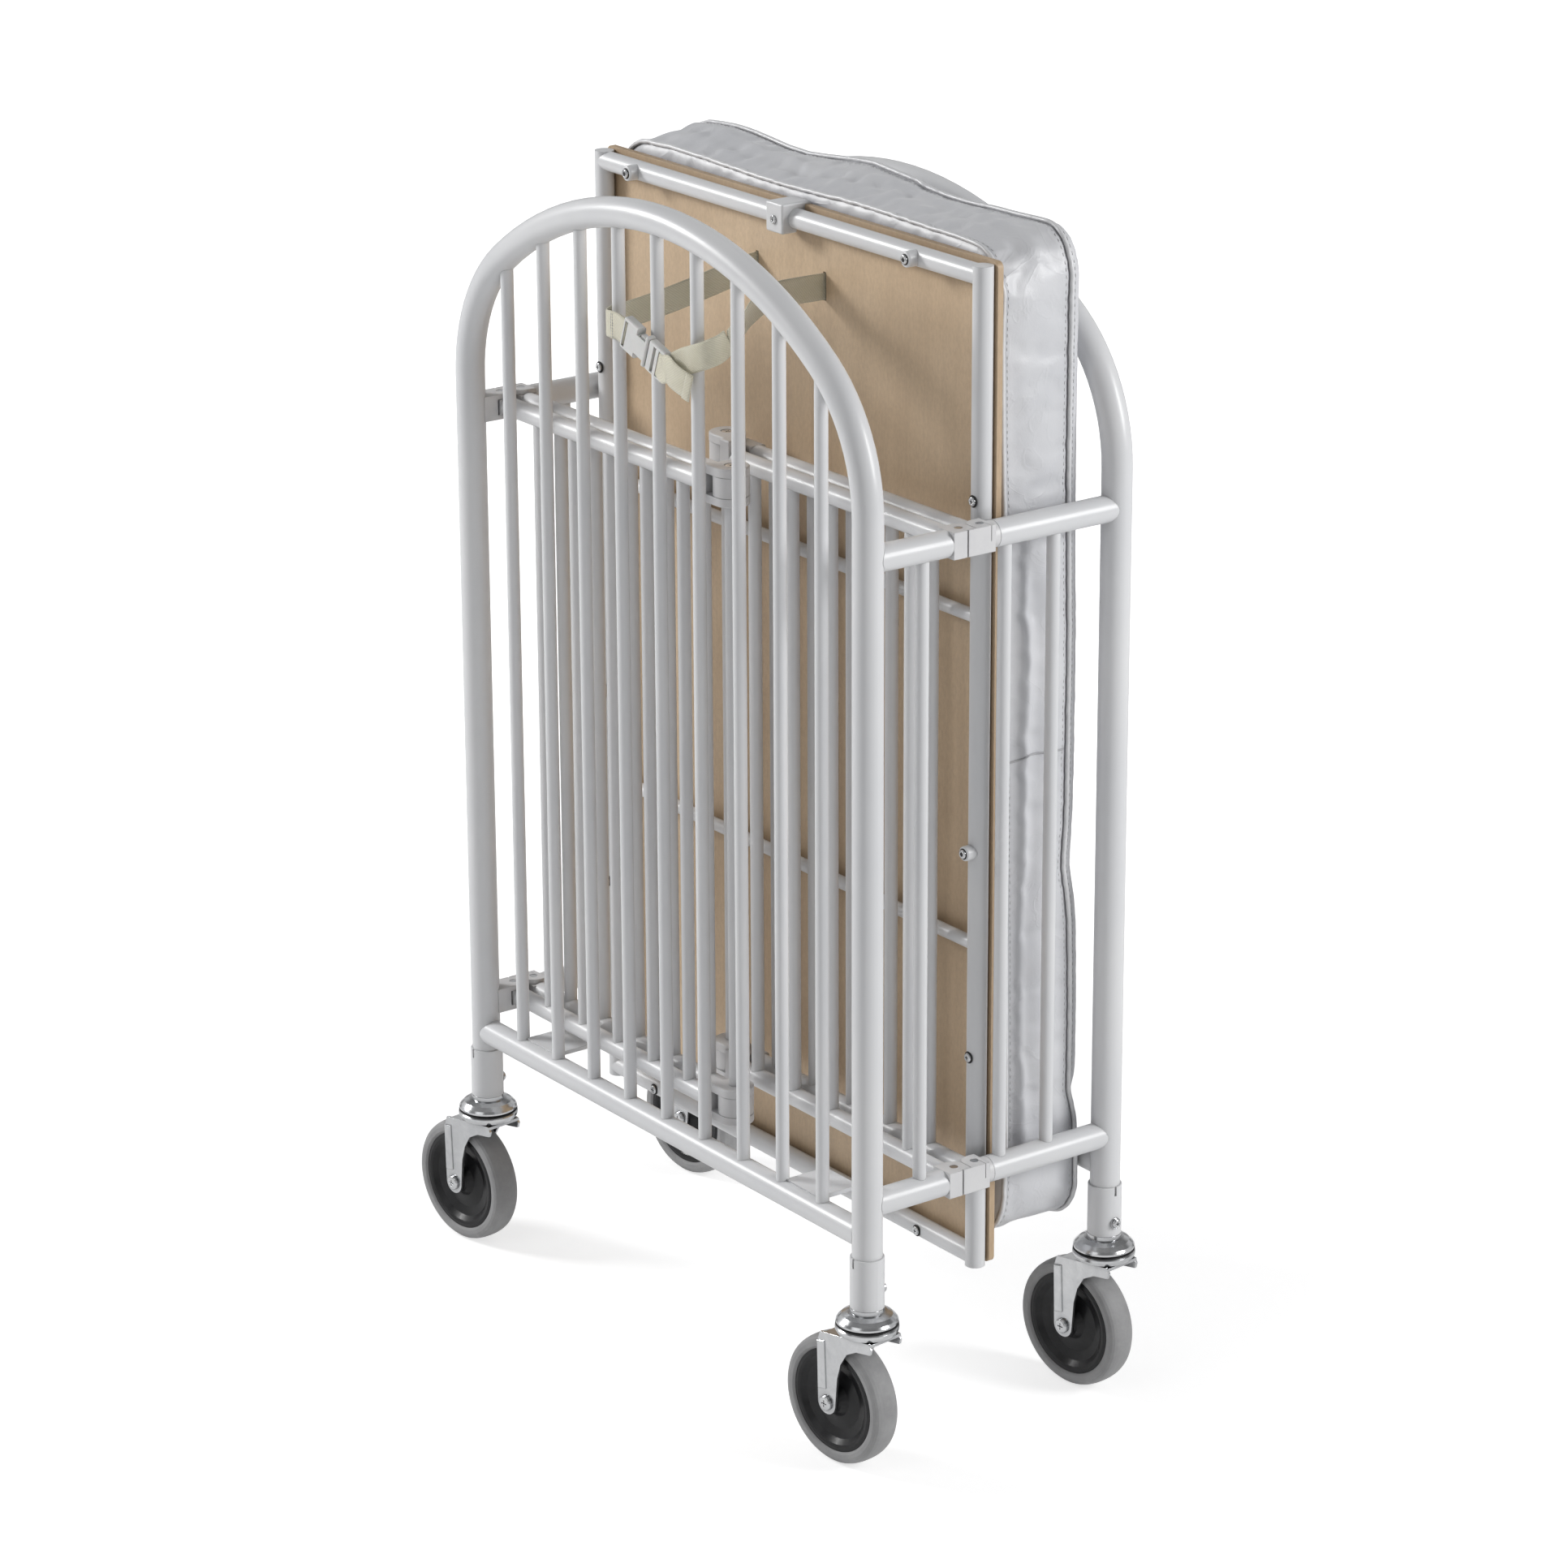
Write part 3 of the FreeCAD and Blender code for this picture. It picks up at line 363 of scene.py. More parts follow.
def webbing():
    mat = Material("webbing")
    uv = mat.node("ShaderNodeUVMap")
    uv.uv_map = "strap"
    band = uv.outputs[0]                    # metres along and across the band
    rib = mat.wave(scale=1.0, axis="X", vector=mat.mapping((330.0, 40.0, 1), vector=band))
    cross = mat.wave(scale=1.0, axis="Y", vector=mat.mapping((60.0, 210.0, 1), vector=band))
    slanted = mat.mapping((190.0, 130.0, 1), turn=(0, 0, 0.9), vector=band)
    chevron = mat.wave(scale=1.0, axis="X", vector=slanted, warp=0.6, warp_scale=2.0)
    fuzz = mat.noise(scale=1300.0, detail=4.0, rough=0.7)
    color = mat.fade(mat.noise(scale=30.0, detail=4.0, rough=0.6),
                     low=(0.77, 0.73, 0.565), high=(0.89, 0.855, 0.70))
    weave = mat.times(mat.plus(rib, chevron), 0.5)
    color = mat.stain(color, mat.fade(weave, start=0.15, end=0.65, low=0.36, high=0.0),
                      tint=(0.43, 0.40, 0.28))
    color = mat.stain(color, mat.fade(fuzz, start=0.45, end=0.7), tint=(0.74, 0.72, 0.62),
                      amount=0.35)
    # painted shade in the folds and where the strap lies close to other parts
    color = mat.stain(color, mat.crevices(reach=0.008), tint=(0.15, 0.14, 0.09), amount=0.6)
    height = mat.plus(mat.plus(weave, mat.times(cross, 0.5)), mat.times(fuzz, 0.4))
    return mat.finish(color=color, rough=0.82,
                      normal=mat.bump(height, depth=0.0004, strength=0.75),
                      sheen=0.45, sheen_rough=0.5)


def buckle_plastic():
    mat = Material("buckle_plastic")
    patches = mat.noise(scale=45.0, detail=4.0, rough=0.6)
    color = mat.fade(patches, low=(0.70, 0.70, 0.685), high=(0.78, 0.78, 0.765))
    # painted shade in the recesses
    color = mat.stain(color, mat.crevices(reach=0.005), tint=(0.25, 0.25, 0.22), amount=0.7)
    color = mat.stain(color, mat.worn_edge(radius=0.0006), tint=(0.88, 0.88, 0.87), amount=0.4)
    normal = mat.bump(mat.noise(scale=1100.0, detail=2.0), depth=0.00004, strength=0.4,
                      over=mat.bevel(radius=0.0006))
    return mat.finish(color=color, rough=mat.spread(patches, low=0.30, high=0.42),
                      normal=normal, sss=0.06, sss_scale=0.002)


def tread_rubber():
    mat = Material("tread_rubber")
    patches = mat.noise(scale=40.0, detail=5.0, rough=0.65)
    color = mat.fade(patches, low=(0.285, 0.285, 0.29), high=(0.36, 0.36, 0.365))
    dust = mat.fade(mat.noise(scale=170.0, detail=6.0, rough=0.75), start=0.52, end=0.72)
    color = mat.stain(color, dust, tint=(0.46, 0.455, 0.44), amount=0.22)
    # painted shade in the gaps by the fork and core
    color = mat.stain(color, mat.crevices(reach=0.008), tint=(0.06, 0.06, 0.06), amount=0.7)
    height = mat.plus(mat.noise(scale=700.0, detail=4.0, rough=0.7), dust)
    normal = mat.bump(height, depth=0.00010, strength=0.5, over=mat.bevel(radius=0.0008))
    return mat.finish(color=color, rough=mat.spread(patches, low=0.52, high=0.68),
                      normal=normal, sheen=0.1)


def core_plastic():
    mat = Material("wheel_core")
    patches = mat.noise(scale=60.0, detail=4.0, rough=0.6)
    color = mat.fade(patches, low=(0.010, 0.010, 0.011), high=(0.022, 0.022, 0.024))
    scratches = mat.fade(mat.noise(scale=300.0, detail=5.0, rough=0.7, warp=1.0),
                         start=0.58, end=0.72)
    color = mat.stain(color, scratches, tint=(0.20, 0.20, 0.20), amount=0.05)
    normal = mat.bump(mat.noise(scale=500.0), depth=0.00005, strength=0.4,
                      over=mat.bevel(radius=0.0009))
    rough = mat.plus(mat.spread(patches, low=0.26, high=0.38), mat.times(scratches, 0.2))
    return mat.finish(color=color, rough=rough, normal=normal, coat=0.12, coat_rough=0.15,
                      spec=0.28)


def seal_black():
    # black, for the board washer rings; on the caster rings and the socket discs it is painted
    # shade
    mat = Material("seal_black")
    patches = mat.noise(scale=160.0, detail=4.0, rough=0.6)
    color = mat.fade(patches, low=(0.008, 0.008, 0.009), high=(0.03, 0.03, 0.031))
    return mat.finish(color=color, rough=0.5,
                      normal=mat.bump(patches, depth=0.0001, strength=0.4))


MATERIALS = {"powder_coat": powder_coat(), "cast_white": cast_white(), "zinc": zinc(),
             "hardboard": hardboard(), "vinyl": vinyl(), "webbing": webbing(),
             "buckle": buckle_plastic(), "tread": tread_rubber(), "wheel_core": core_plastic()}
THREAD = thread()
SEAL_AND_SHADE = seal_black()
PIPING = piping_vinyl()
SEAM_GROOVE_SHADE = seam_groove_shade()


def dress_cad_parts():
    """Each CAD slot's material name, less its number, picks the new material."""
    for part in PARTS.values():
        for slot in part.material_slots:
            key = (slot.material.name if slot.material else "powder_coat").split(".")[0]
            slot.link = "OBJECT"
            slot.material = MATERIALS.get(key, MATERIALS["powder_coat"])


dress_cad_parts()


# --------------------------------------------------------------- mesh helpers
def place_mesh(name, mesh, material):
    made = bpy.data.objects.new(name, mesh)
    SCENE.collection.objects.link(made)
    mesh.materials.append(material)
    return made


def make(name, verts, faces, material, smooth=True, uvs=None):
    """An object from lists; uvs holds one pair a vertex."""
    mesh = bpy.data.meshes.new(name)
    mesh.from_pydata([tuple(v) for v in verts], [], faces)
    mesh.validate()
    mesh.update()
    if smooth:
        mesh.polygons.foreach_set("use_smooth", [True] * len(mesh.polygons))
    if uvs is not None:
        layer = mesh.uv_layers.new(name="strap")
        for i, loop in enumerate(mesh.loops):
            layer.data[i].uv = uvs[loop.vertex_index]
    return place_mesh(name, mesh, material)


def outward(made):
    """Turns all faces outwards."""
    bm = bmesh.new()
    bm.from_mesh(made.data)
    bmesh.ops.recalc_face_normals(bm, faces=bm.faces)
    bm.to_mesh(made.data)
    bm.free()
    return made


def apply_modifiers(made):
    graph = bpy.context.evaluated_depsgraph_get()
    graph.update()
    mesh = bpy.data.meshes.new_from_object(made.evaluated_get(graph))
    made.modifiers.clear()
    old = made.data
    made.data = mesh
    bpy.data.meshes.remove(old)


def vertex_array(mesh, field="co"):
    values = np.empty(len(mesh.vertices) * 3, np.float32)
    mesh.vertices.foreach_get(field, values)
    return values.reshape(-1, 3).astype(float)


def set_points(mesh, points):
    mesh.vertices.foreach_set("co", points.astype(np.float32).ravel())
    mesh.update()


def surface_of(made):
    bm = bmesh.new()
    bm.from_mesh(made.data)
    tree = BVHTree.FromBMesh(bm)
    bm.free()
    return tree


def finder_of(points):
    finder = KDTree(len(points))
    for i, point in enumerate(points):
        finder.insert(point, i)
    finder.balance()
    return finder


def smoothstep(start, end, value):
    t = np.clip((value - start) / (end - start), 0, 1)
    return t * t * (3 - 2 * t)


def bell(distance, width):
    return np.exp(-(distance / width) ** 2)


def turns(count):
    return [2 * math.pi * k / count for k in range(count)]


def skin(rings, sides, closed=False):
    """Quads between rings of vertices that follow one another."""
    faces = []
    for i in range(rings if closed else rings - 1):
        j = (i + 1) % rings
        for k in range(sides):
            k2 = (k + 1) % sides
            faces.append((i * sides + k, i * sides + k2, j * sides + k2, j * sides + k))
    return faces


def caps(rings, sides):
    last = (rings - 1) * sides
    return [tuple(reversed(range(sides))), tuple(range(last, last + sides))]


def join(parts):
    """One list of vertices and one of faces from several parts."""
    verts, faces = [], []
    for part_verts, part_faces in parts:
        start = len(verts)
        verts += part_verts
        faces += [tuple(i + start for i in face) for face in part_faces]
    return verts, faces


def tube_along(points, radius, sides, up, closed=False):
    """A tube along a polyline; its first vertex lies towards up."""
    count = len(points)
    verts = []
    side = up
    for i in range(count):
        before = points[(i - 1) % count] if closed or i > 0 else points[i]
        after = points[(i + 1) % count] if closed or i < count - 1 else points[i]
        along = (after - before).normalized()
        side = side - along * side.dot(along)
        if side.length < 1e-6:
            side = along.orthogonal()
        side.normalize()
        other = along.cross(side)
        for angle in turns(sides):
            verts.append(points[i] + side * (math.cos(angle) * radius)
                         + other * (math.sin(angle) * radius))
    faces = skin(count, sides, closed)
    return verts, faces if closed else faces + caps(count, sides)


def spline(controls, step, closed=False):
    """Catmull-Rom through rows whose first 3 columns are a place, resampled at about step."""
    rows = np.array(controls, float)
    count = len(rows)
    out = []
    for i in range(count if closed else count - 1):
        p1, p2 = rows[i], rows[(i + 1) % count]
        p0 = rows[(i - 1) % count] if closed or i > 0 else 2 * p1 - p2
        p3 = rows[(i + 2) % count] if closed or i + 2 < count else 2 * p2 - p1
        pieces = max(2, int(np.linalg.norm((p2 - p1)[:3]) / step))
        for j in range(pieces):
            t = j / pieces
            out.append(0.5 * ((2 * p1) + (-p0 + p2) * t + (2 * p0 - 5 * p1 + 4 * p2 - p3) * t * t
                              + (-p0 + 3 * p1 - 3 * p2 + p3) * t ** 3))
    if not closed:
        out.append(rows[-1])
    return np.array(out)


# share of the length, share of the radius
STITCH_PROFILE = [(-0.5, 0.15), (-0.36, 0.8), (0.0, 1.0), (0.36, 0.8), (0.5, 0.15)]


def stitch(point, along, normal, length, radius, sides=6):
    along = along.normalized()
    side = (normal - along * normal.dot(along)).normalized()
    other = along.cross(side)
    verts = [point + along * (reach * length)
             + (side * math.cos(angle) + other * math.sin(angle)) * (radius * swell)
             for reach, swell in STITCH_PROFILE for angle in turns(sides)]
    rings = len(STITCH_PROFILE)
    return verts, skin(rings, sides) + caps(rings, sides)


def stitching(name, places, length, radius):
    """Short stitches at (point, direction, normal)."""
    parts = [stitch(*place, length, radius) for place in places]
    return make(name, *join(parts), THREAD)


def revolved(profile, segments, place):
    """A closed profile of (radius, height) swept round; place(radius, height, angle) is a point."""
    verts = [place(radius, height, angle) for angle in turns(segments)
             for radius, height in profile]
    return verts, skin(segments, len(profile), closed=True)


# -------------------------------------------------------------------- mattress
MATT_LO, MATT_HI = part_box("mattress")
MATT_X = (MATT_LO.x + MATT_HI.x) / 2
MATT_HALF = (MATT_HI.x - MATT_LO.x) / 2
MATT_DEPTH = MATT_HI.y - MATT_LO.y
DEPTH_MM = MATT_DEPTH * 1000
BOTTOM_MM = MATT_LO.z * 1000
TOP_MM = MATT_HI.z * 1000

BODY_INSET_MM = 6                       # the unfilled cover inside its box, at the sides and bottom
BODY_DROP_MM = 10                       # and at the top
BODY_HALF = MATT_HALF - BODY_INSET_MM / 1000
BOARD_REST_Y = MATT_LO.y + 0.0006       # the cover's front lies on the board here
SIDE_LIMIT = 0.3043                     # half the clear width between the side rails
REAR_LIMIT = REAR_Y - 0.0145            # clear of the rear end frame
PIPING_RADIUS = 0.0023
PIPING_LIFT = 0.0012


def table(rows):
    """A lookup that runs straight between (position, value) rows."""
    columns = np.array(rows, float)
    return lambda v: np.interp(v, columns[:, 0], columns[:, 1])


# top line of the cover at its seams: (x from the middle, height above the CAD top), mm
FRONT_TOP = table([
    (-301, -22), (-285, -12), (-270, -9.5), (-216, -7), (-146, -8.5), (-77, -11), (-10, -11),
    (62, -8.5), (118, -8.5), (174, -10.5), (228, -10.5), (255, -12), (275, -14), (301, -24)])
REAR_TOP = table([
    (-301, -10), (-285, -4), (-245, 1), (-215, 3.5), (-185, 3.0), (-155, 0.5), (-128, -2),
    (-95, -3.0), (-60, 0), (-21, 4), (8, 5.5), (31, 3.5), (74, 0), (88, -3.5), (120, -5.5),
    (149, -5.5), (187, -3.5), (222, -3.5), (244, -3), (268, -2.5), (284, -4.5), (301, -10)])
# extra height of the top just behind the rear seam: (x from the middle, height), mm
REAR_BULGE = table([
    (-301, 0), (-240, 0), (-190, -1), (-120, -1), (-60, 1), (-20, 4), (35, 9), (78, 12),
    (106, 9.5), (133, 5), (172, 0), (200, 2.5), (242, 4), (268, 3), (301, 0)])
# the seams wander in depth from bottom to top: (z, y from the CAD front face), mm
REAR_SEAM_Y = table([
    (172, 100), (235, 100), (282, 98), (311, 90), (350, 90.5), (407, 90.5), (465, 89),
    (498, 87), (537, 80), (593, 83), (670, 83), (780, 83), (918, 80), (1144, 81)])
FRONT_SEAM_Y = table([
    (172, 7), (204, 13), (247, 17), (320, 16.5), (466, 14), (700, 9), (898, 6), (957, 4),
    (1040, 1.5), (1144, 4)])
# the upright crease in both sides: (z, y from the CAD front face), mm
SIDE_CREASE_Y = table([
    (172, 40), (278, 45.5), (314, 41), (366, 35), (403, 36), (444, 34), (510, 36), (546, 41),
    (649, 43), (732, 46.6), (788, 44), (827, 38.5), (861, 33), (1144, 25)])


def side_share(x):
    """0 in the middle of the width, 1 at the sides; x in mm from the middle."""
    return smoothstep(190, 296, np.abs(x))


def top_share(z):
    """0 below the top of the cover, 1 at the top; z in mm."""
    return smoothstep(TOP_MM - 75, TOP_MM - 12, z)


def outline(half, bottom, top, radius, step):
    """Rounded rectangle (x, z) in metres about the mattress middle, counter-clockwise as seen
    from the front, from the left end of the lower left corner."""
    points = []

    def arc(x, z, start, end):
        count = max(4, int(abs(end - start) * radius / step))
        for i in range(count):
            angle = start + (end - start) * i / count
            points.append((x + radius * math.cos(angle), z + radius * math.sin(angle)))

    def line(x0, z0, x1, z1):
        count = max(1, int(math.hypot(x1 - x0, z1 - z0) / step))
        for i in range(count):
            points.append((x0 + (x1 - x0) * i / count, z0 + (z1 - z0) * i / count))

    arc(-half + radius, bottom + radius, math.pi, 1.5 * math.pi)
    line(-half + radius, bottom, half - radius, bottom)
    arc(half - radius, bottom + radius, 1.5 * math.pi, 2 * math.pi)
    line(half, bottom + radius, half, top - radius)
    arc(half - radius, top - radius, 0, 0.5 * math.pi)
    line(half - radius, top, -half + radius, top)
    arc(-half + radius, top - radius, 0.5 * math.pi, math.pi)
    line(-half, top - radius, -half, bottom + radius)
    return points


def front_seam_depth(x, z):
    return 5.5 + (FRONT_SEAM_Y(z) - 5) * side_share(x) * 0.8


def rear_seam_depth(x, z):
    wander = REAR_SEAM_Y(z) - (DEPTH_MM - 14)
    return DEPTH_MM - 11.5 + wander * (0.55 + 0.45 * side_share(x))


def seam_target(radius, top_line, depth):
    """Where a seam should run: a dense closed line round the cover. The wave of the top line
    fades down the sides, so that the corners keep their radius."""
    points = []
    for x, z in outline(MATT_HALF - 0.0015, MATT_LO.z + 0.002, MATT_HI.z, radius, 0.0025):
        lift = top_share(z * 1000) * top_line(x * 1000) / 1000
        y = MATT_LO.y + depth(x * 1000, z * 1000) / 1000
        points.append(Vector((MATT_X + x, y, z + lift)))
    return points


FRONT_TARGET = seam_target(0.040, FRONT_TOP, front_seam_depth)
REAR_TARGET = seam_target(0.033, REAR_TOP, rear_seam_depth)


def cover_mm(points):
    """Columns x from the middle, y from the CAD front face and z from the floor, in mm."""
    return ((points[:, 0] - MATT_X) * 1000, (points[:, 1] - MATT_LO.y) * 1000,
            points[:, 2] * 1000)


def cover_body():
    """The unfilled cover: a slab with chamfered rims, remeshed evenly."""
    # (y from the CAD front face, inset of the outline), metres
    layers = [(0.005, 0.007), (0.0085, 0.002), (0.013, 0.0), (MATT_DEPTH - 0.018, 0.0),
              (MATT_DEPTH - 0.013, 0.002), (MATT_DEPTH - 0.009, 0.007)]
    ring = outline(BODY_HALF, MATT_LO.z + BODY_INSET_MM / 1000,
                   MATT_HI.z - BODY_DROP_MM / 1000, radius=0.034, step=0.012)
    mid_z = (MATT_LO.z + MATT_HI.z) / 2
    half_height = (MATT_HI.z - MATT_LO.z) / 2
    bm = bmesh.new()
    rows = []
    for y, inset in layers:
        shrink_x = 1 - inset / BODY_HALF
        shrink_z = 1 - inset / half_height
        rows.append([bm.verts.new((MATT_X + x * shrink_x, MATT_LO.y + y,
                                   mid_z + (z - mid_z) * shrink_z)) for x, z in ring])
    for row, following in zip(rows, rows[1:]):
        for i in range(len(ring)):
            j = (i + 1) % len(ring)
            bm.faces.new((row[i], row[j], following[j], following[i]))
    bm.faces.new(rows[0])
    bm.faces.new(list(reversed(rows[-1])))
    bmesh.ops.recalc_face_normals(bm, faces=bm.faces)
    mesh = bpy.data.meshes.new("mattress_cover")
    bm.to_mesh(mesh)
    bm.free()
    body = place_mesh("mattress_cover", mesh, MATERIALS["vinyl"])
    remesh = body.modifiers.new("r", "REMESH")
    remesh.mode = "VOXEL"
    remesh.voxel_size = 0.0056
    remesh.use_smooth_shade = True
    apply_modifiers(body)
    return body


# a light, slightly oversized cloth under gentle pressure, held at the pinned places
CLOTH = {"quality": 5, "mass": 0.35, "use_pressure": True, "uniform_pressure_force": 4.0,
         "tension_stiffness": 18, "compression_stiffness": 14, "shear_stiffness": 8,
         "bending_stiffness": 0.9, "tension_damping": 12, "compression_damping": 12,
         "shear_damping": 10, "shrink_min": -0.016, "vertex_group_mass": "pin",
         "pin_stiffness": 1.4}
CLOTH_FRAMES = 18                       # frames played
CLOTH_CACHE_END = 22
FILL_CAP = 0.011                        # the furthest the cloth may move, metres


def fill_with_cloth(cover, start, near_edge):
    """Offsets of the cover after the seams hold still and the cloth between them fills out."""
    _, y, _ = cover_mm(start)
    front_seam = bell(y - 9, 5.0) * (near_edge < 11)
    rear_seam = bell(y - (DEPTH_MM - 14), 5.0) * (near_edge < 11)
    front_face = (y < 8) & (near_edge > 24)
    pin = np.clip(front_seam + rear_seam, 0, 1) * 0.92 + front_face * 0.9
    pin = np.clip(pin, 0, 1)
    group = cover.vertex_groups.new(name="pin")
    for level in (0.3, 0.6, 0.9):
        held = np.nonzero((pin > level - 0.15) & (pin <= level + 0.15))[0].tolist()
        if held:
            group.add(held, level, "REPLACE")
    cloth = cover.modifiers.new("c", "CLOTH")
    for key, value in CLOTH.items():
        setattr(cloth.settings, key, value)
    cloth.settings.effector_weights.gravity = 0.0
    cloth.collision_settings.use_collision = False
    cloth.point_cache.frame_start = 1
    cloth.point_cache.frame_end = CLOTH_CACHE_END
    SCENE.frame_start = 1
    SCENE.frame_end = CLOTH_CACHE_END
    for frame in range(1, CLOTH_FRAMES + 1):
        SCENE.frame_set(frame)
    apply_modifiers(cover)
    SCENE.frame_set(1)
    offset = vertex_array(cover.data) - start
    length = np.linalg.norm(offset, axis=1)
    offset *= (FILL_CAP * np.tanh(length / FILL_CAP) / np.maximum(length, 1e-9))[:, None]
    cover.vertex_groups.clear()
    return offset


def wobble(x, y, z, size, seed):
    shift = Vector((seed, 0, 0))
    return np.array([noise.noise(Vector((i / size, j / size, k / size)) + shift)
                     for i, j, k in zip(x, y, z)])


def crease_path(z):
    """The side crease's y at each height, its table smoothed."""
    grid = np.arange(100.0, 1220.0, 4.0)
    window = np.hanning(21)[1:-1]
    padded = np.pad(SIDE_CREASE_Y(grid), 9, mode="edge")
    return np.interp(z, grid, np.convolve(padded, window / window.sum(), "valid"))


def shape_cover(points):
    """Wandering seams, waves along the top, creases down the sides, a proud rear panel."""
    x, y, z = cover_mm(points)
    top = top_share(z)
    side = side_share(x)
    depth = np.clip((y - 8) / (DEPTH_MM - 22), 0, 1)          # 0 at the front seam, 1 at the rear
    middle = np.clip(np.sin(np.pi * depth), 0, 1)             # 1 midway between the seams
    lift = (FRONT_TOP(x) * (1 - depth) + REAR_TOP(x) * depth
            + REAR_BULGE(x) * smoothstep(DEPTH_MM - 17, DEPTH_MM - 4, y))
    new_z = z + top * (lift + 9.0)

    # depth follows the seam tables
    back = smoothstep(0.35, 1.0, depth)
    rear_shift = REAR_SEAM_Y(z) - (DEPTH_MM - 14)
    front_shift = (FRONT_SEAM_Y(z) - 5) * side * 0.8
    new_y = (y + back * rear_shift * (0.55 + 0.45 * side)
             + (1 - back) * front_shift * (1 - depth))

    # soft waves everywhere but in the middle of the front
    wavy = np.nonzero((np.abs(x) > 200) | (z > 1010) | (z < 260) | (y > DEPTH_MM - 25))[0]
    broad = np.zeros(len(x))
    small = np.zeros(len(x))
    broad[wavy] = wobble(x[wavy], y[wavy] * 1.5, z[wavy] * 0.8, size=62.0, seed=3.1)
    small[wavy] = wobble(x[wavy] * 1.1, y[wavy] * 1.6, z[wavy], size=21.0, seed=7.7)

    # sides: waves, and an upright crease with a low ridge behind it
    on_side = (np.sign(x) * smoothstep(MATT_HALF * 1000 - 22, MATT_HALF * 1000 - 9, np.abs(x))
               * smoothstep(BOTTOM_MM, BOTTOM_MM + 40, z) * (1 - top))
    from_crease = y - crease_path(z)
    crease_reach = smoothstep(250, 300, z) * (1 - smoothstep(800, 880, z))
    valley = bell(from_crease, 9.0) * crease_reach
    ridge = bell(from_crease - 17, 9.0) * crease_reach
    new_x = x + on_side * (middle * (broad * 2.2 + small * 0.45) - valley * 5.0 + ridge * 1.2)

    # top: waves, and one long shallow fold with a ridge behind it
    new_z += top * middle * (broad * 5.0 + small * 2.6)
    sway = 0.10 * np.sin(x / 61.0)
    new_z += top * (bell(depth - 0.70 - sway, 0.09) * 1.6 - bell(depth - 0.52 - sway, 0.10) * 2.0)

    # rear panel and bottom
    new_y += smoothstep(DEPTH_MM - 13, DEPTH_MM - 6, y) * (broad * 3.0 + small * 0.8)
    low = 1 - smoothstep(BOTTOM_MM + 8, BOTTOM_MM + 45, z)
    new_z += low * middle * (broad * 2.5 + small * 1.4)

    # the rear panel stands proud of its seam
    inset = np.minimum(MATT_HALF * 1000 - 1.5 - np.abs(new_x),
                       np.minimum(new_z - BOTTOM_MM - 2, TOP_MM - new_z + REAR_TOP(x)))
    swell = 9.0 * (1 - np.exp(-np.clip(inset, 0, 200) / 8.0))
    new_y += swell * smoothstep(DEPTH_MM - 13, DEPTH_MM - 8, y)
    return np.stack([MATT_X + new_x / 1000, MATT_LO.y + new_y / 1000, new_z / 1000], 1)


def pull_to_seams(points):
    """The panels pull in to the two piped seams."""
    for line, reach in ((FRONT_TARGET, 0.0085), (REAR_TARGET, 0.0095)):
        finder = finder_of(line)
        for i in range(len(points)):
            nearest, _, distance = finder.find(points[i])
            if distance < 0.030:
                points[i] += (np.array(nearest) - points[i]) * (0.86 * bell(distance, reach))


def keep_clear(points):
    """Flat on the board in front, giving way round the rest tabs, clear of rails and frame."""
    points[:, 1] = np.maximum(points[:, 1], BOARD_REST_Y)
    tab_half = 0.026
    limit = TAB_LO.y - 0.0018
    for tab_x in (TAB_LO.x + tab_half, TAB_HI.x - tab_half):
        beside = np.maximum(np.abs(points[:, 0] - tab_x) - tab_half, 0)
        above = np.maximum(points[:, 2] - TAB_HI.z - 0.003, 0)
        hold = np.clip(bell(beside, 0.013) * bell(above, 0.016) * 1.3, 0, 1)
        y = points[:, 1]
        points[:, 1] = np.where(y > limit, y - (y - limit) * hold, y)
    points[:, 0] = np.clip(points[:, 0], MID_X - SIDE_LIMIT, MID_X + SIDE_LIMIT)
    points[:, 1] = np.minimum(points[:, 1], REAR_LIMIT)


def mattress_cover():
    cover = cover_body()
    start = vertex_array(cover.data)
    x, y, z = cover_mm(start)
    near_edge = np.minimum(BODY_HALF * 1000 - np.abs(x),
                           np.minimum(z - (BOTTOM_MM + BODY_INSET_MM), TOP_MM - BODY_DROP_MM - z))
    points = start + fill_with_cloth(cover, start, near_edge)
    points[:, 1] = np.where(y < 7, np.maximum(points[:, 1], MATT_LO.y + 0.0012), points[:, 1])
    set_points(cover.data, points)
    subdivide = cover.modifiers.new("s", "SUBSURF")
    subdivide.levels = subdivide.render_levels = 1
    apply_modifiers(cover)

    points = shape_cover(vertex_array(cover.data))
    pull_to_seams(points)
    keep_clear(points)
    set_points(cover.data, points)
    return cover


def smooth_loop(points):
    count = len(points)
    return [(points[i - 1] + points[i] * 2 + points[(i + 1) % count]) / 4 for i in range(count)]


def seam_on(made, line):
    """A closed seam line laid on the surface: its points and the normals there."""
    surface = surface_of(made)
    points = [surface.find_nearest(point)[0] for point in line]
    for _ in range(6):
        points = smooth_loop(points)
    hits = [surface.find_nearest(point) for point in points]
    return [hit[0] for hit in hits], [hit[1] for hit in hits]


def cut_groove(made, line, depth, width):
    finder = finder_of(line)
    points = vertex_array(made.data)
    normals = vertex_array(made.data, "normal")
    for i in range(len(points)):
        distance = finder.find(points[i])[2]
        if distance < width * 3:
            points[i] -= normals[i] * depth * bell(distance, width)
    points[:, 1] = np.maximum(points[:, 1], BOARD_REST_Y)
    set_points(made.data, points)


def piping(name, line, normals):
    points = smooth_loop([point + normal * PIPING_LIFT for point, normal in zip(line, normals)])
    for point in points:
        point.y = max(point.y, MATT_LO.y + PIPING_RADIUS + 0.0004)
    fine = spline([tuple(point) for point in points], 0.003, closed=True)
    path = [Vector(point) for point in fine]
    verts, faces = tube_along(path, PIPING_RADIUS, 8, up=Vector((0, 1, 0)), closed=True)
    return make(name, verts, faces, PIPING)


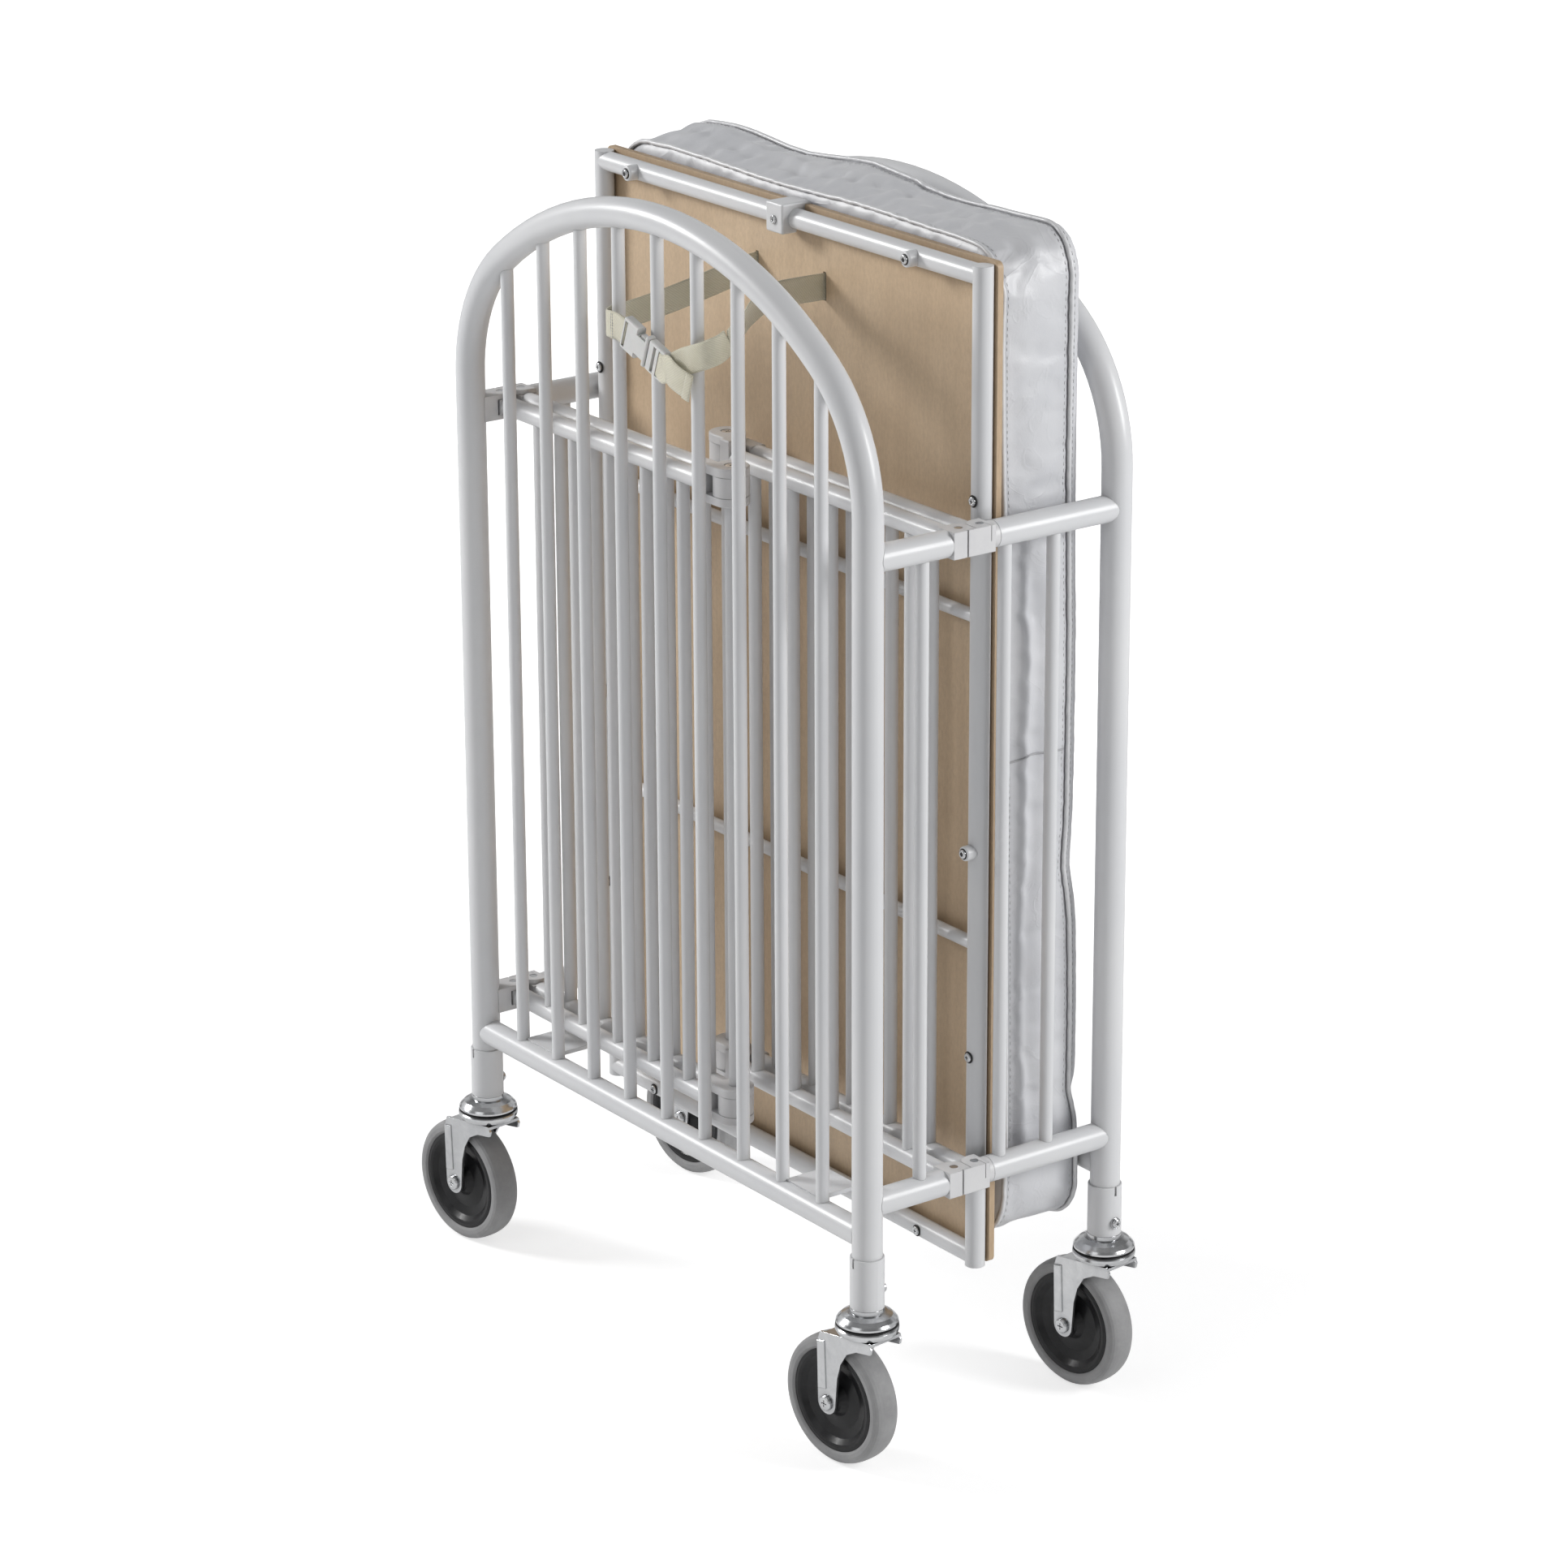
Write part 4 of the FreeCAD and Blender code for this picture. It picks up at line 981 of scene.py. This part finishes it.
# the edge roll's section: (outwards from the rear seam, backwards from it), mm
ROLL_PROFILE = [(-1.2, -1.5), (-0.6, 0.8), (0.1, 3.0), (-0.1, 6.0), (-1.1, 9.0), (-3.2, 11.6),
                (-6.8, 13.3), (-11.0, 13.4), (-15.5, 11.6), (-19.5, 7.5), (-19.5, 0.0),
                (-12.0, -3.0)]
ROLL_DEPTH = max(back for _, back in ROLL_PROFILE)


def rear_edge_roll(line):
    """The filled-out edge of the rear panel, just behind its seam: a roll that starts and
    ends above the rest tabs."""
    count = len(line)
    end_z = TAB_HI.z + 0.030
    low = [i for i in range(count) if line[i].z < end_z]
    start = (max(low, key=lambda i: line[i].x) + 1) % count
    run = []
    for k in range(count):
        i = (start + k) % count
        if line[i].z < end_z and k > 40:
            break
        run.append(i)
    verts = []
    for j, i in enumerate(run):
        point = line[i]
        # outwards, taken over 12 steps of the line so that it turns smoothly at the corners
        along = line[(i + 6) % count] - line[i - 6]
        out = Vector((along.z, 0, -along.x)).normalized()
        if out.dot(Vector((point.x - MATT_X, 0, point.z - (MATT_LO.z + MATT_HI.z) / 2))) < 0:
            out = -out
        room = (REAR_LIMIT - 0.0001 - point.y) * 1000
        scale = min(1.0, max(room, 1.0) / ROLL_DEPTH)
        full = smoothstep(0, 24, min(j, len(run) - 1 - j))        # 0 at the roll's ends
        wave = (noise.noise(Vector((point.x * 14, 3.3, point.z * 14))) * 0.7
                + noise.noise(Vector((point.x * 45, 8.1, point.z * 45))) * 0.35)
        for outwards, back in ROLL_PROFILE:
            if back > 2:
                outwards += wave * 0.9
            if back > 0:
                back *= (scale + 0.06 * wave * scale) * (0.25 + 0.75 * full)
                outwards -= (1 - full) * 5.0
            vert = point + out * (outwards / 1000) + Vector((0, back / 1000, 0))
            vert.x = min(max(vert.x, MID_X - SIDE_LIMIT), MID_X + SIDE_LIMIT)
            vert.y = min(vert.y, REAR_LIMIT)
            verts.append(vert)
    rings, sides = len(run), len(ROLL_PROFILE)
    faces = skin(rings, sides) + caps(rings, sides)
    roll = outward(make("mattress_rear_edge", verts, faces, MATERIALS["vinyl"], smooth=False))
    for polygon in roll.data.polygons:
        polygon.use_smooth = len(polygon.vertices) == 4
    return roll


def stitch_places(line, offset_y, on, pitch=0.0062):
    """Stitches along a closed line, moved by offset_y onto a surface."""
    surface = surface_of(on)
    fine = spline([tuple(point) for point in line], 0.0015, closed=True)
    places = []
    travelled, last = 0.0, Vector(fine[0])
    for i in range(1, len(fine)):
        point = Vector(fine[i])
        travelled += (point - last).length
        last = point
        if travelled >= pitch:
            travelled = 0.0
            hit, normal, _, _ = surface.find_nearest(point + Vector((0, offset_y, 0)))
            following = Vector(fine[(i + 1) % len(fine)])
            places.append((hit + normal * 0.0001, following - point, normal))
    return places


def side_seam(surface, side, height):
    """A narrow lapped seam that crosses one side of the cover from front to rear."""
    points = []
    for i in range(34):
        t = i / 33
        y = MATT_LO.y + 0.014 + t * 0.066
        z = height + 0.0012 * math.sin(t * 3.4) + 0.0015 * t
        outside = Vector((MATT_X + side * 0.36, y, z))
        hit, normal, _, _ = surface.ray_cast(outside, Vector((-side, 0, 0)))
        if hit is not None:
            points.append(hit + normal * 0.00025)
    return tube_along(points, 0.00095, 6, up=Vector((side, 0, 0)))


def build_mattress():
    cover = mattress_cover()
    front_line, front_normals = seam_on(cover, FRONT_TARGET)
    rear_line, rear_normals = seam_on(cover, REAR_TARGET)
    cut_groove(cover, front_line + rear_line, depth=0.0012, width=0.0030)
    front_piping = piping("mattress_front_piping", front_line, front_normals)
    rear_piping = piping("mattress_rear_piping", rear_line, rear_normals)
    roll = rear_edge_roll(rear_line)
    places = (stitch_places(front_line, 0.0052, on=cover)
              + stitch_places(rear_line, -0.0052, on=cover)
              + stitch_places(rear_line, 0.0050, on=roll))
    stitches = stitching("mattress_stitching", places, length=0.0034, radius=0.00042)
    surface = surface_of(cover)
    seams = [side_seam(surface, side, height) for side, height in ((1, 0.652), (-1, 0.640))]
    # the side seams are dark grey as painted shade of their grooves
    side_seams = make("mattress_side_seams", *join(seams), SEAM_GROOVE_SHADE)

    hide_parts("mattress")
    for made in (cover, front_piping, rear_piping, stitches, side_seams, roll):
        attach(made, "mattress")


build_mattress()

# ----------------------------------------------------------------------- strap
STRAP_WIDTH = 0.0254
STRAP_THICK = 0.0017
UPRIGHT = (0.0, 0.0, 1.0)
BUCKLE_MID = at(2.0, -13.0, 1009.0)
BUCKLE_ALONG = Vector((0.944, 0, -0.33)).normalized()       # rightwards and down
BUCKLE_ACROSS = (-BUCKLE_ALONG.z, 0, BUCKLE_ALONG.x)


def by_buckle(along, y):
    """A point on the buckle's middle line: mm along it, and mm towards the spindles (+Y)."""
    return BUCKLE_MID + BUCKLE_ALONG * (along / 1000) + Vector((0, y / 1000, 0))


def buckle_station(along, y):
    return (*in_mm(by_buckle(along, y)), BUCKLE_ACROSS)


def ribbon(name, stations, start, width=STRAP_WIDTH, thick=STRAP_THICK, across=10):
    """Webbing through stations (x, y, z, direction of the width), in mm as for at(); the width
    is upright where no direction is given. The weave starts at start metres."""
    rows = []
    for x, y, z, *direction in stations:
        rows.append((*at(x, y, z), *(direction[0] if direction else UPRIGHT)))
    points = spline(rows, 0.0022)
    count = len(points)
    # cross section: front face with beaded selvedges, then the back face
    face = []
    for i in range(across + 1):
        share = -1 + 2 * i / across
        bead = 0.22 * bell(abs(share) - 0.93, 0.05)
        face.append((share * width / 2, thick / 2 * (1 - 0.55 * (abs(share) > 0.999) + bead)))
    section = face + [(offset, -height) for offset, height in reversed(face)]
    verts, uvs = [], []
    run = start
    for i in range(count):
        point = Vector(points[i][:3])
        before = Vector(points[max(i - 1, 0)][:3])
        after = Vector(points[min(i + 1, count - 1)][:3])
        along = (after - before).normalized()
        wide = Vector(points[i][3:6])
        wide = (wide - along * wide.dot(along)).normalized()
        normal = along.cross(wide).normalized()
        if i:
            run += (point - before).length
        for offset, height in section:
            verts.append(point + wide * offset + normal * height)
            uvs.append((run, offset))
    faces = skin(count, len(section)) + [cap[::-1] for cap in caps(count, len(section))]
    return outward(make(name, verts, faces, MATERIALS["webbing"], uvs=uvs))


# where one band carries on from another
LEFT_JOIN = (-73.6, 8, 1022.5)
RIGHT_JOIN = (95.5, 12, 1032.5, (0.02, 0.10, 1))


def left_run():
    """From the left slot of the board to the left of the wrapped spindle."""
    return ribbon("strap_left_run", [
        (-58, 158.6, 1053.5), (-58.2, 152.0, 1053.3), (-59.5, 135, 1050.0), (-64, 96, 1040),
        (-69.5, 52, 1029.5), (-73.0, 18, 1023.5), LEFT_JOIN], start=0.0)


def wrap_band():
    """Round the spindle and into the fixed half of the buckle."""
    return ribbon("strap_wrap_band", [
        LEFT_JOIN, (-73.4, 0, 1021.8), (-71.6, -6.0, 1021.3), (-67.6, -10.2, 1021.2),
        (-60, -13.2, 1021.9, (-0.10, 0, 1)), (-50, -14.0, 1022.6, (0.2, 0, 1)),
        buckle_station(-37.0, -1.2), buckle_station(-31.0, -1.2)], start=0.15)


def wrap_fold():
    """The folded-back end of the wrap, stitched on top of it."""
    return ribbon("strap_wrap_fold", [
        buckle_station(-31.5, -3.2), buckle_station(-37.5, -3.3),
        (-44, -16.0, 1023.6, (0.25, 0, 1)), (-50.5, -16.2, 1022.9, (0.2, 0, 1)),
        (-53, -15.8, 1022.6, (0.2, 0, 1))], start=0.4, width=STRAP_WIDTH * 0.985)


def wrap_stitches():
    """Two upright rows of nine through the fold."""
    places = []
    for k in range(9):
        z = 1022.8 + (-10.5 + 21 * k / 8)
        for x in (-48.6, -51.2):
            places.append((at(x, -17.15, z), Vector((0.12, 0, 1)), Vector((0, -1, 0))))
    return stitching("strap_wrap_stitches", places, length=0.0021, radius=0.00034)


def right_run():
    """From the right slot of the board, loose, to the next spindle."""
    return ribbon("strap_right_run", [
        (48, 158.6, 1053.5), (48.2, 150, 1053.5), (50.5, 122, 1054.5),
        (57, 88, 1055.5, (0.03, 0.05, 1)), (72, 55, 1049.5, (0.05, 0.10, 1)),
        (88, 30, 1040.5, (0.05, 0.12, 1)), RIGHT_JOIN], start=0.8)


def front_band():
    """Round that spindle and into the sliding half of the buckle."""
    return ribbon("strap_front_band", [
        RIGHT_JOIN, (94, 0, 1026.5, (0.0, 0.05, 1)), (86, -8.6, 1021.0),
        (74, -11.8, 1016.2, (0.10, 0, 1)), (58, -11.4, 1010.2, (0.22, 0, 1)),
        (44, -10.6, 1003.6, (0.30, 0, 1)),
        buckle_station(33.5, 2.0), buckle_station(26.5, 2.2)], start=0.95)


def tail_end():
    """The loose tail comes out of the front of the sliding half and droops."""
    return ribbon("strap_tail_end", [
        buckle_station(19.0, -2.4), buckle_station(26.0, -4.0), buckle_station(33.0, -5.2),
        (42, -19.2, 1001.6, (0.36, 0, 0.94)), (52, -20.6, 998.0, (0.38, 0.02, 0.92)),
        (64, -20.4, 994.2, (0.34, 0.02, 0.93)), (77, -18.2, 990.2, (0.30, 0.02, 0.95))],
        start=1.2)


def tail_hem():
    return ribbon("strap_tail_hem", [
        (70.5, -20.8, 992.0, (0.32, 0.02, 0.94)), (77.2, -19.8, 989.9, (0.30, 0.02, 0.95)),
        (78.6, -18.9, 989.5, (0.30, 0.02, 0.95))], start=1.4, thick=STRAP_THICK * 1.1)


def build_strap():
    left = left_run()
    wrap = wrap_band()
    fold = wrap_fold()
    stitches = wrap_stitches()
    right = right_run()
    front = front_band()
    tail = tail_end()
    hem = tail_hem()

    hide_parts("strap_runs")
    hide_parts("strap_wrap")
    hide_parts("strap_tail")
    for made in (left, right):
        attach(made, "rear_frame")
    for made in (wrap, fold, stitches):
        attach(made, "front_frame")
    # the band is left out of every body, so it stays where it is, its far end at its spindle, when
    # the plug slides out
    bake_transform(front)
    for made in (tail, hem):
        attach(made, "buckle_plug")


build_strap()

# ------------------------------------------------------ caster and board trim
LEG_X = (ARCH_HI.x - ARCH_LO.x) / 2 - 0.0143       # legs from the middle
# (radius from the leg's axis, z), mm
RIM_SHADE_PROFILE = [(25.5, 150.1), (29.0, 150.1), (29.6, 150.45), (29.6, 150.8), (29.0, 151.15),
                (25.5, 151.15)]


# A thin black ring round each caster at 150 mm: painted shade, standing for the dark gap there.
def caster_rim_shade(tag, x, y, body):
    def place(radius, height, angle):
        return (x + radius / 1000 * math.cos(angle), y + radius / 1000 * math.sin(angle),
                height / 1000)

    verts, faces = revolved(RIM_SHADE_PROFILE, 64, place)
    rim_shade = outward(make("caster_%s_seal" % tag, verts, faces, SEAL_AND_SHADE))
    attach(rim_shade, body)


for tag, side, leg_y, body in (("fl", -1, FRONT_Y, "front_frame"),
                               ("fr", 1, FRONT_Y, "front_frame"),
                               ("rl", -1, REAR_Y, "rear_frame"),
                               ("rr", 1, REAR_Y, "rear_frame")):
    caster_rim_shade(tag, MID_X + side * LEG_X, leg_y, body)

# board frame, mm: half its depth, the front of it, and its middle lines
TUBE_RADIUS = (BOARD_HI.y - BOARD_LO.y) * 500
TUBE_FRONT = ((BOARD_LO.y + BOARD_HI.y) / 2 - FRONT_Y) * 1000 - TUBE_RADIUS
TUBE_X = ((BOARD_HI.x - BOARD_LO.x) / 2) * 1000 - TUBE_RADIUS
TUBE_LOW = BOARD_LO.z * 1000 + TUBE_RADIUS
TUBE_HIGH = BOARD_HI.z * 1000 - TUBE_RADIUS
# (x, z, distance in front of the frame), mm
WASHERS = [(-TUBE_X, 908, 0), (TUBE_X, 908, 0), (-TUBE_X, 373, 0), (TUBE_X, 373, 0),
           (-218, TUBE_LOW, 0), (218, TUBE_LOW, 0), (-232, TUBE_HIGH, 9), (206, TUBE_HIGH, 9),
           (-TUBE_X, 575, 8), (TUBE_X, 575, 8)]


def washer(x, z, inner, outer, front, back):
    """A ring about Y with a chamfered front rim, in mm as for at()."""
    profile = [(inner, front), (outer - 0.25, front), (outer, front + 0.25), (outer, back),
               (inner, back)]
    return revolved(profile, 28, lambda radius, y, angle: at(
        x + radius * math.cos(angle), y, z + radius * math.sin(angle)))


def board_washers_and_socket_shades():
    """A ring at each place, and where it stands off the frame a small black disc in front of it,
    painted shade for the screw head's socket recess.
    """
    parts = []
    for x, z, standoff in WASHERS:
        face = TUBE_FRONT - standoff
        outer = 5.2 if standoff else 5.7
        parts.append(washer(x, z, 4.45, outer, face - 0.45, face + 0.35))
        if standoff:
            # painted shade: a black disc for the screw's socket recess
            parts.append(washer(x, z, 0.25, 2.1, face - 2.32, face - 2.05))
    washers_and_socket_shades = outward(make("board_screw_washers_and_socket_shades", *join(parts), SEAL_AND_SHADE))
    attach(washers_and_socket_shades, "rear_frame")


board_washers_and_socket_shades()


# ----------------------------------------------------------------------- stage
def floor_material():
    """Grey to the light; to the camera it glows brighter with distance from the crib."""
    mat = Material("floor_sweep")
    color = mat.fade(mat.noise(scale=0.6, detail=2.0),
                     low=(0.60, 0.60, 0.60), high=(0.62, 0.62, 0.62))
    radius = mat.node("ShaderNodeVectorMath")
    radius.operation = "LENGTH"
    mat.feed(radius.inputs[0], mat.place)
    far = mat.spread(radius.outputs["Value"], start=0.5, end=1.9, low=0.66, high=1.15,
                     easing="SMOOTHSTEP")
    glow = mat.node("ShaderNodeMix")
    camera_ray = mat.node("ShaderNodeLightPath").outputs["Is Camera Ray"]
    unseen_glow = 0.26
    for socket, value in ((0, camera_ray), (2, unseen_glow), (3, far)):
        mat.feed(glow.inputs[socket], value)
    return mat.finish(color=color, rough=0.8, spec=0.0, glow_color=(1, 1, 1),
                      glow=glow.outputs[0])


def stage_floor():
    cells = 24
    reach = 9
    line = [-reach + 2 * reach * i / cells for i in range(cells + 1)]
    verts = [(x, y, 0.0) for y in line for x in line]
    row = cells + 1
    faces = [(j * row + i, j * row + i + 1, (j + 1) * row + i + 1, (j + 1) * row + i)
             for j in range(cells) for i in range(cells)]
    make("floor_sweep", verts, faces, floor_material(), smooth=False)


def studio_world():
    world = bpy.data.worlds.new("studio")
    SCENE.world = world
    world.use_nodes = True
    nodes = Nodes(world.node_tree)
    output = nodes.node("ShaderNodeOutputWorld")
    rays = nodes.node("ShaderNodeLightPath")
    direction = nodes.node("ShaderNodeTexCoord").outputs["Generated"]
    height = nodes.node("ShaderNodeSeparateXYZ", Vector=direction).outputs[2]
    # (height of the direction, brightness)
    fill = [(0.0, 0.30), (0.10, 0.34), (0.30, 0.38), (0.60, 0.46), (1.0, 0.56)]
    light = nodes.ramp(height, [(z, (v * 0.985, v * 0.99, v)) for z, v in fill])
    # what shiny parts see: a dark band low down and bright panels above
    panels = nodes.ramp(height, [(0.0, 0.10), (0.05, 0.22), (0.16, 1.15), (0.38, 1.0),
                                 (0.52, 0.25), (1.0, 0.55)])
    sky = nodes.mix(rays.outputs["Is Glossy Ray"], light, panels)
    backdrop = (1.7, 1.7, 1.7)
    sky = nodes.mix(rays.outputs["Is Camera Ray"], sky, backdrop)
    background = nodes.node("ShaderNodeBackground", Color=sky, Strength=0.50)
    nodes.tree.links.new(background.outputs[0], output.inputs[0])


def aim(azimuth, elevation, distance):
    """A place round the crib's middle; azimuth in degrees from the front towards the right."""
    turn, rise = math.radians(azimuth), math.radians(elevation)
    return Vector((math.sin(turn) * math.cos(rise), -math.cos(turn) * math.cos(rise),
                   math.sin(rise))) * distance


def area_light(name, azimuth, elevation, distance, size, size_y, power, color=(1, 1, 1)):
    target = Vector((0.0, 0.0, 0.6))
    light = bpy.data.lights.new(name, "AREA")
    light.shape = "RECTANGLE"
    light.size = size
    light.size_y = size_y
    light.energy = power
    light.color = color
    lamp = bpy.data.objects.new(name, light)
    SCENE.collection.objects.link(lamp)
    lamp.location = target + aim(azimuth, elevation, distance)
    lamp.rotation_euler = (target - lamp.location).to_track_quat("-Z", "Y").to_euler()
    return light


def add_lights():
    warm = (1.0, 0.998, 0.995)
    area_light("right", azimuth=124, elevation=22, distance=4.4, size=1.2, size_y=1.8,
               power=104, color=warm)
    area_light("left", azimuth=-52, elevation=27, distance=4.4, size=1.1, size_y=1.1,
               power=112, color=warm)
    front = area_light("front", azimuth=10, elevation=34, distance=5.0, size=2.4, size_y=2.4,
                       power=16)
    front.specular_factor = 0.15


def add_camera():
    """From the front right and above."""
    heading, pitch, roll = (math.radians(a) for a in (53.9066, 19.2134, -0.24976))
    place = at(3849.85, -2666.27, 2217.86)
    camera = bpy.data.cameras.new("camera")
    stand = bpy.data.objects.new("camera", camera)
    SCENE.collection.objects.link(stand)
    SCENE.camera = stand
    camera.sensor_fit = "HORIZONTAL"
    camera.sensor_width = 36.0
    camera.lens = 120.985
    camera.clip_end = 60.0
    ahead = Vector((-math.sin(heading) * math.cos(pitch), math.cos(heading) * math.cos(pitch),
                    -math.sin(pitch)))
    level = Vector((math.cos(heading), math.sin(heading), 0))
    above = level.cross(ahead)
    right = level * math.cos(roll) + above * math.sin(roll)
    up = -level * math.sin(roll) + above * math.cos(roll)
    rows = [(right[i], up[i], -ahead[i], place[i]) for i in range(3)]
    stand.matrix_world = Matrix((*rows, (0, 0, 0, 1)))


stage_floor()
studio_world()
add_lights()
add_camera()
SCENE.view_settings.view_transform = "Standard"
SCENE.view_settings.look = "None"
SCENE.view_settings.exposure = 0.0
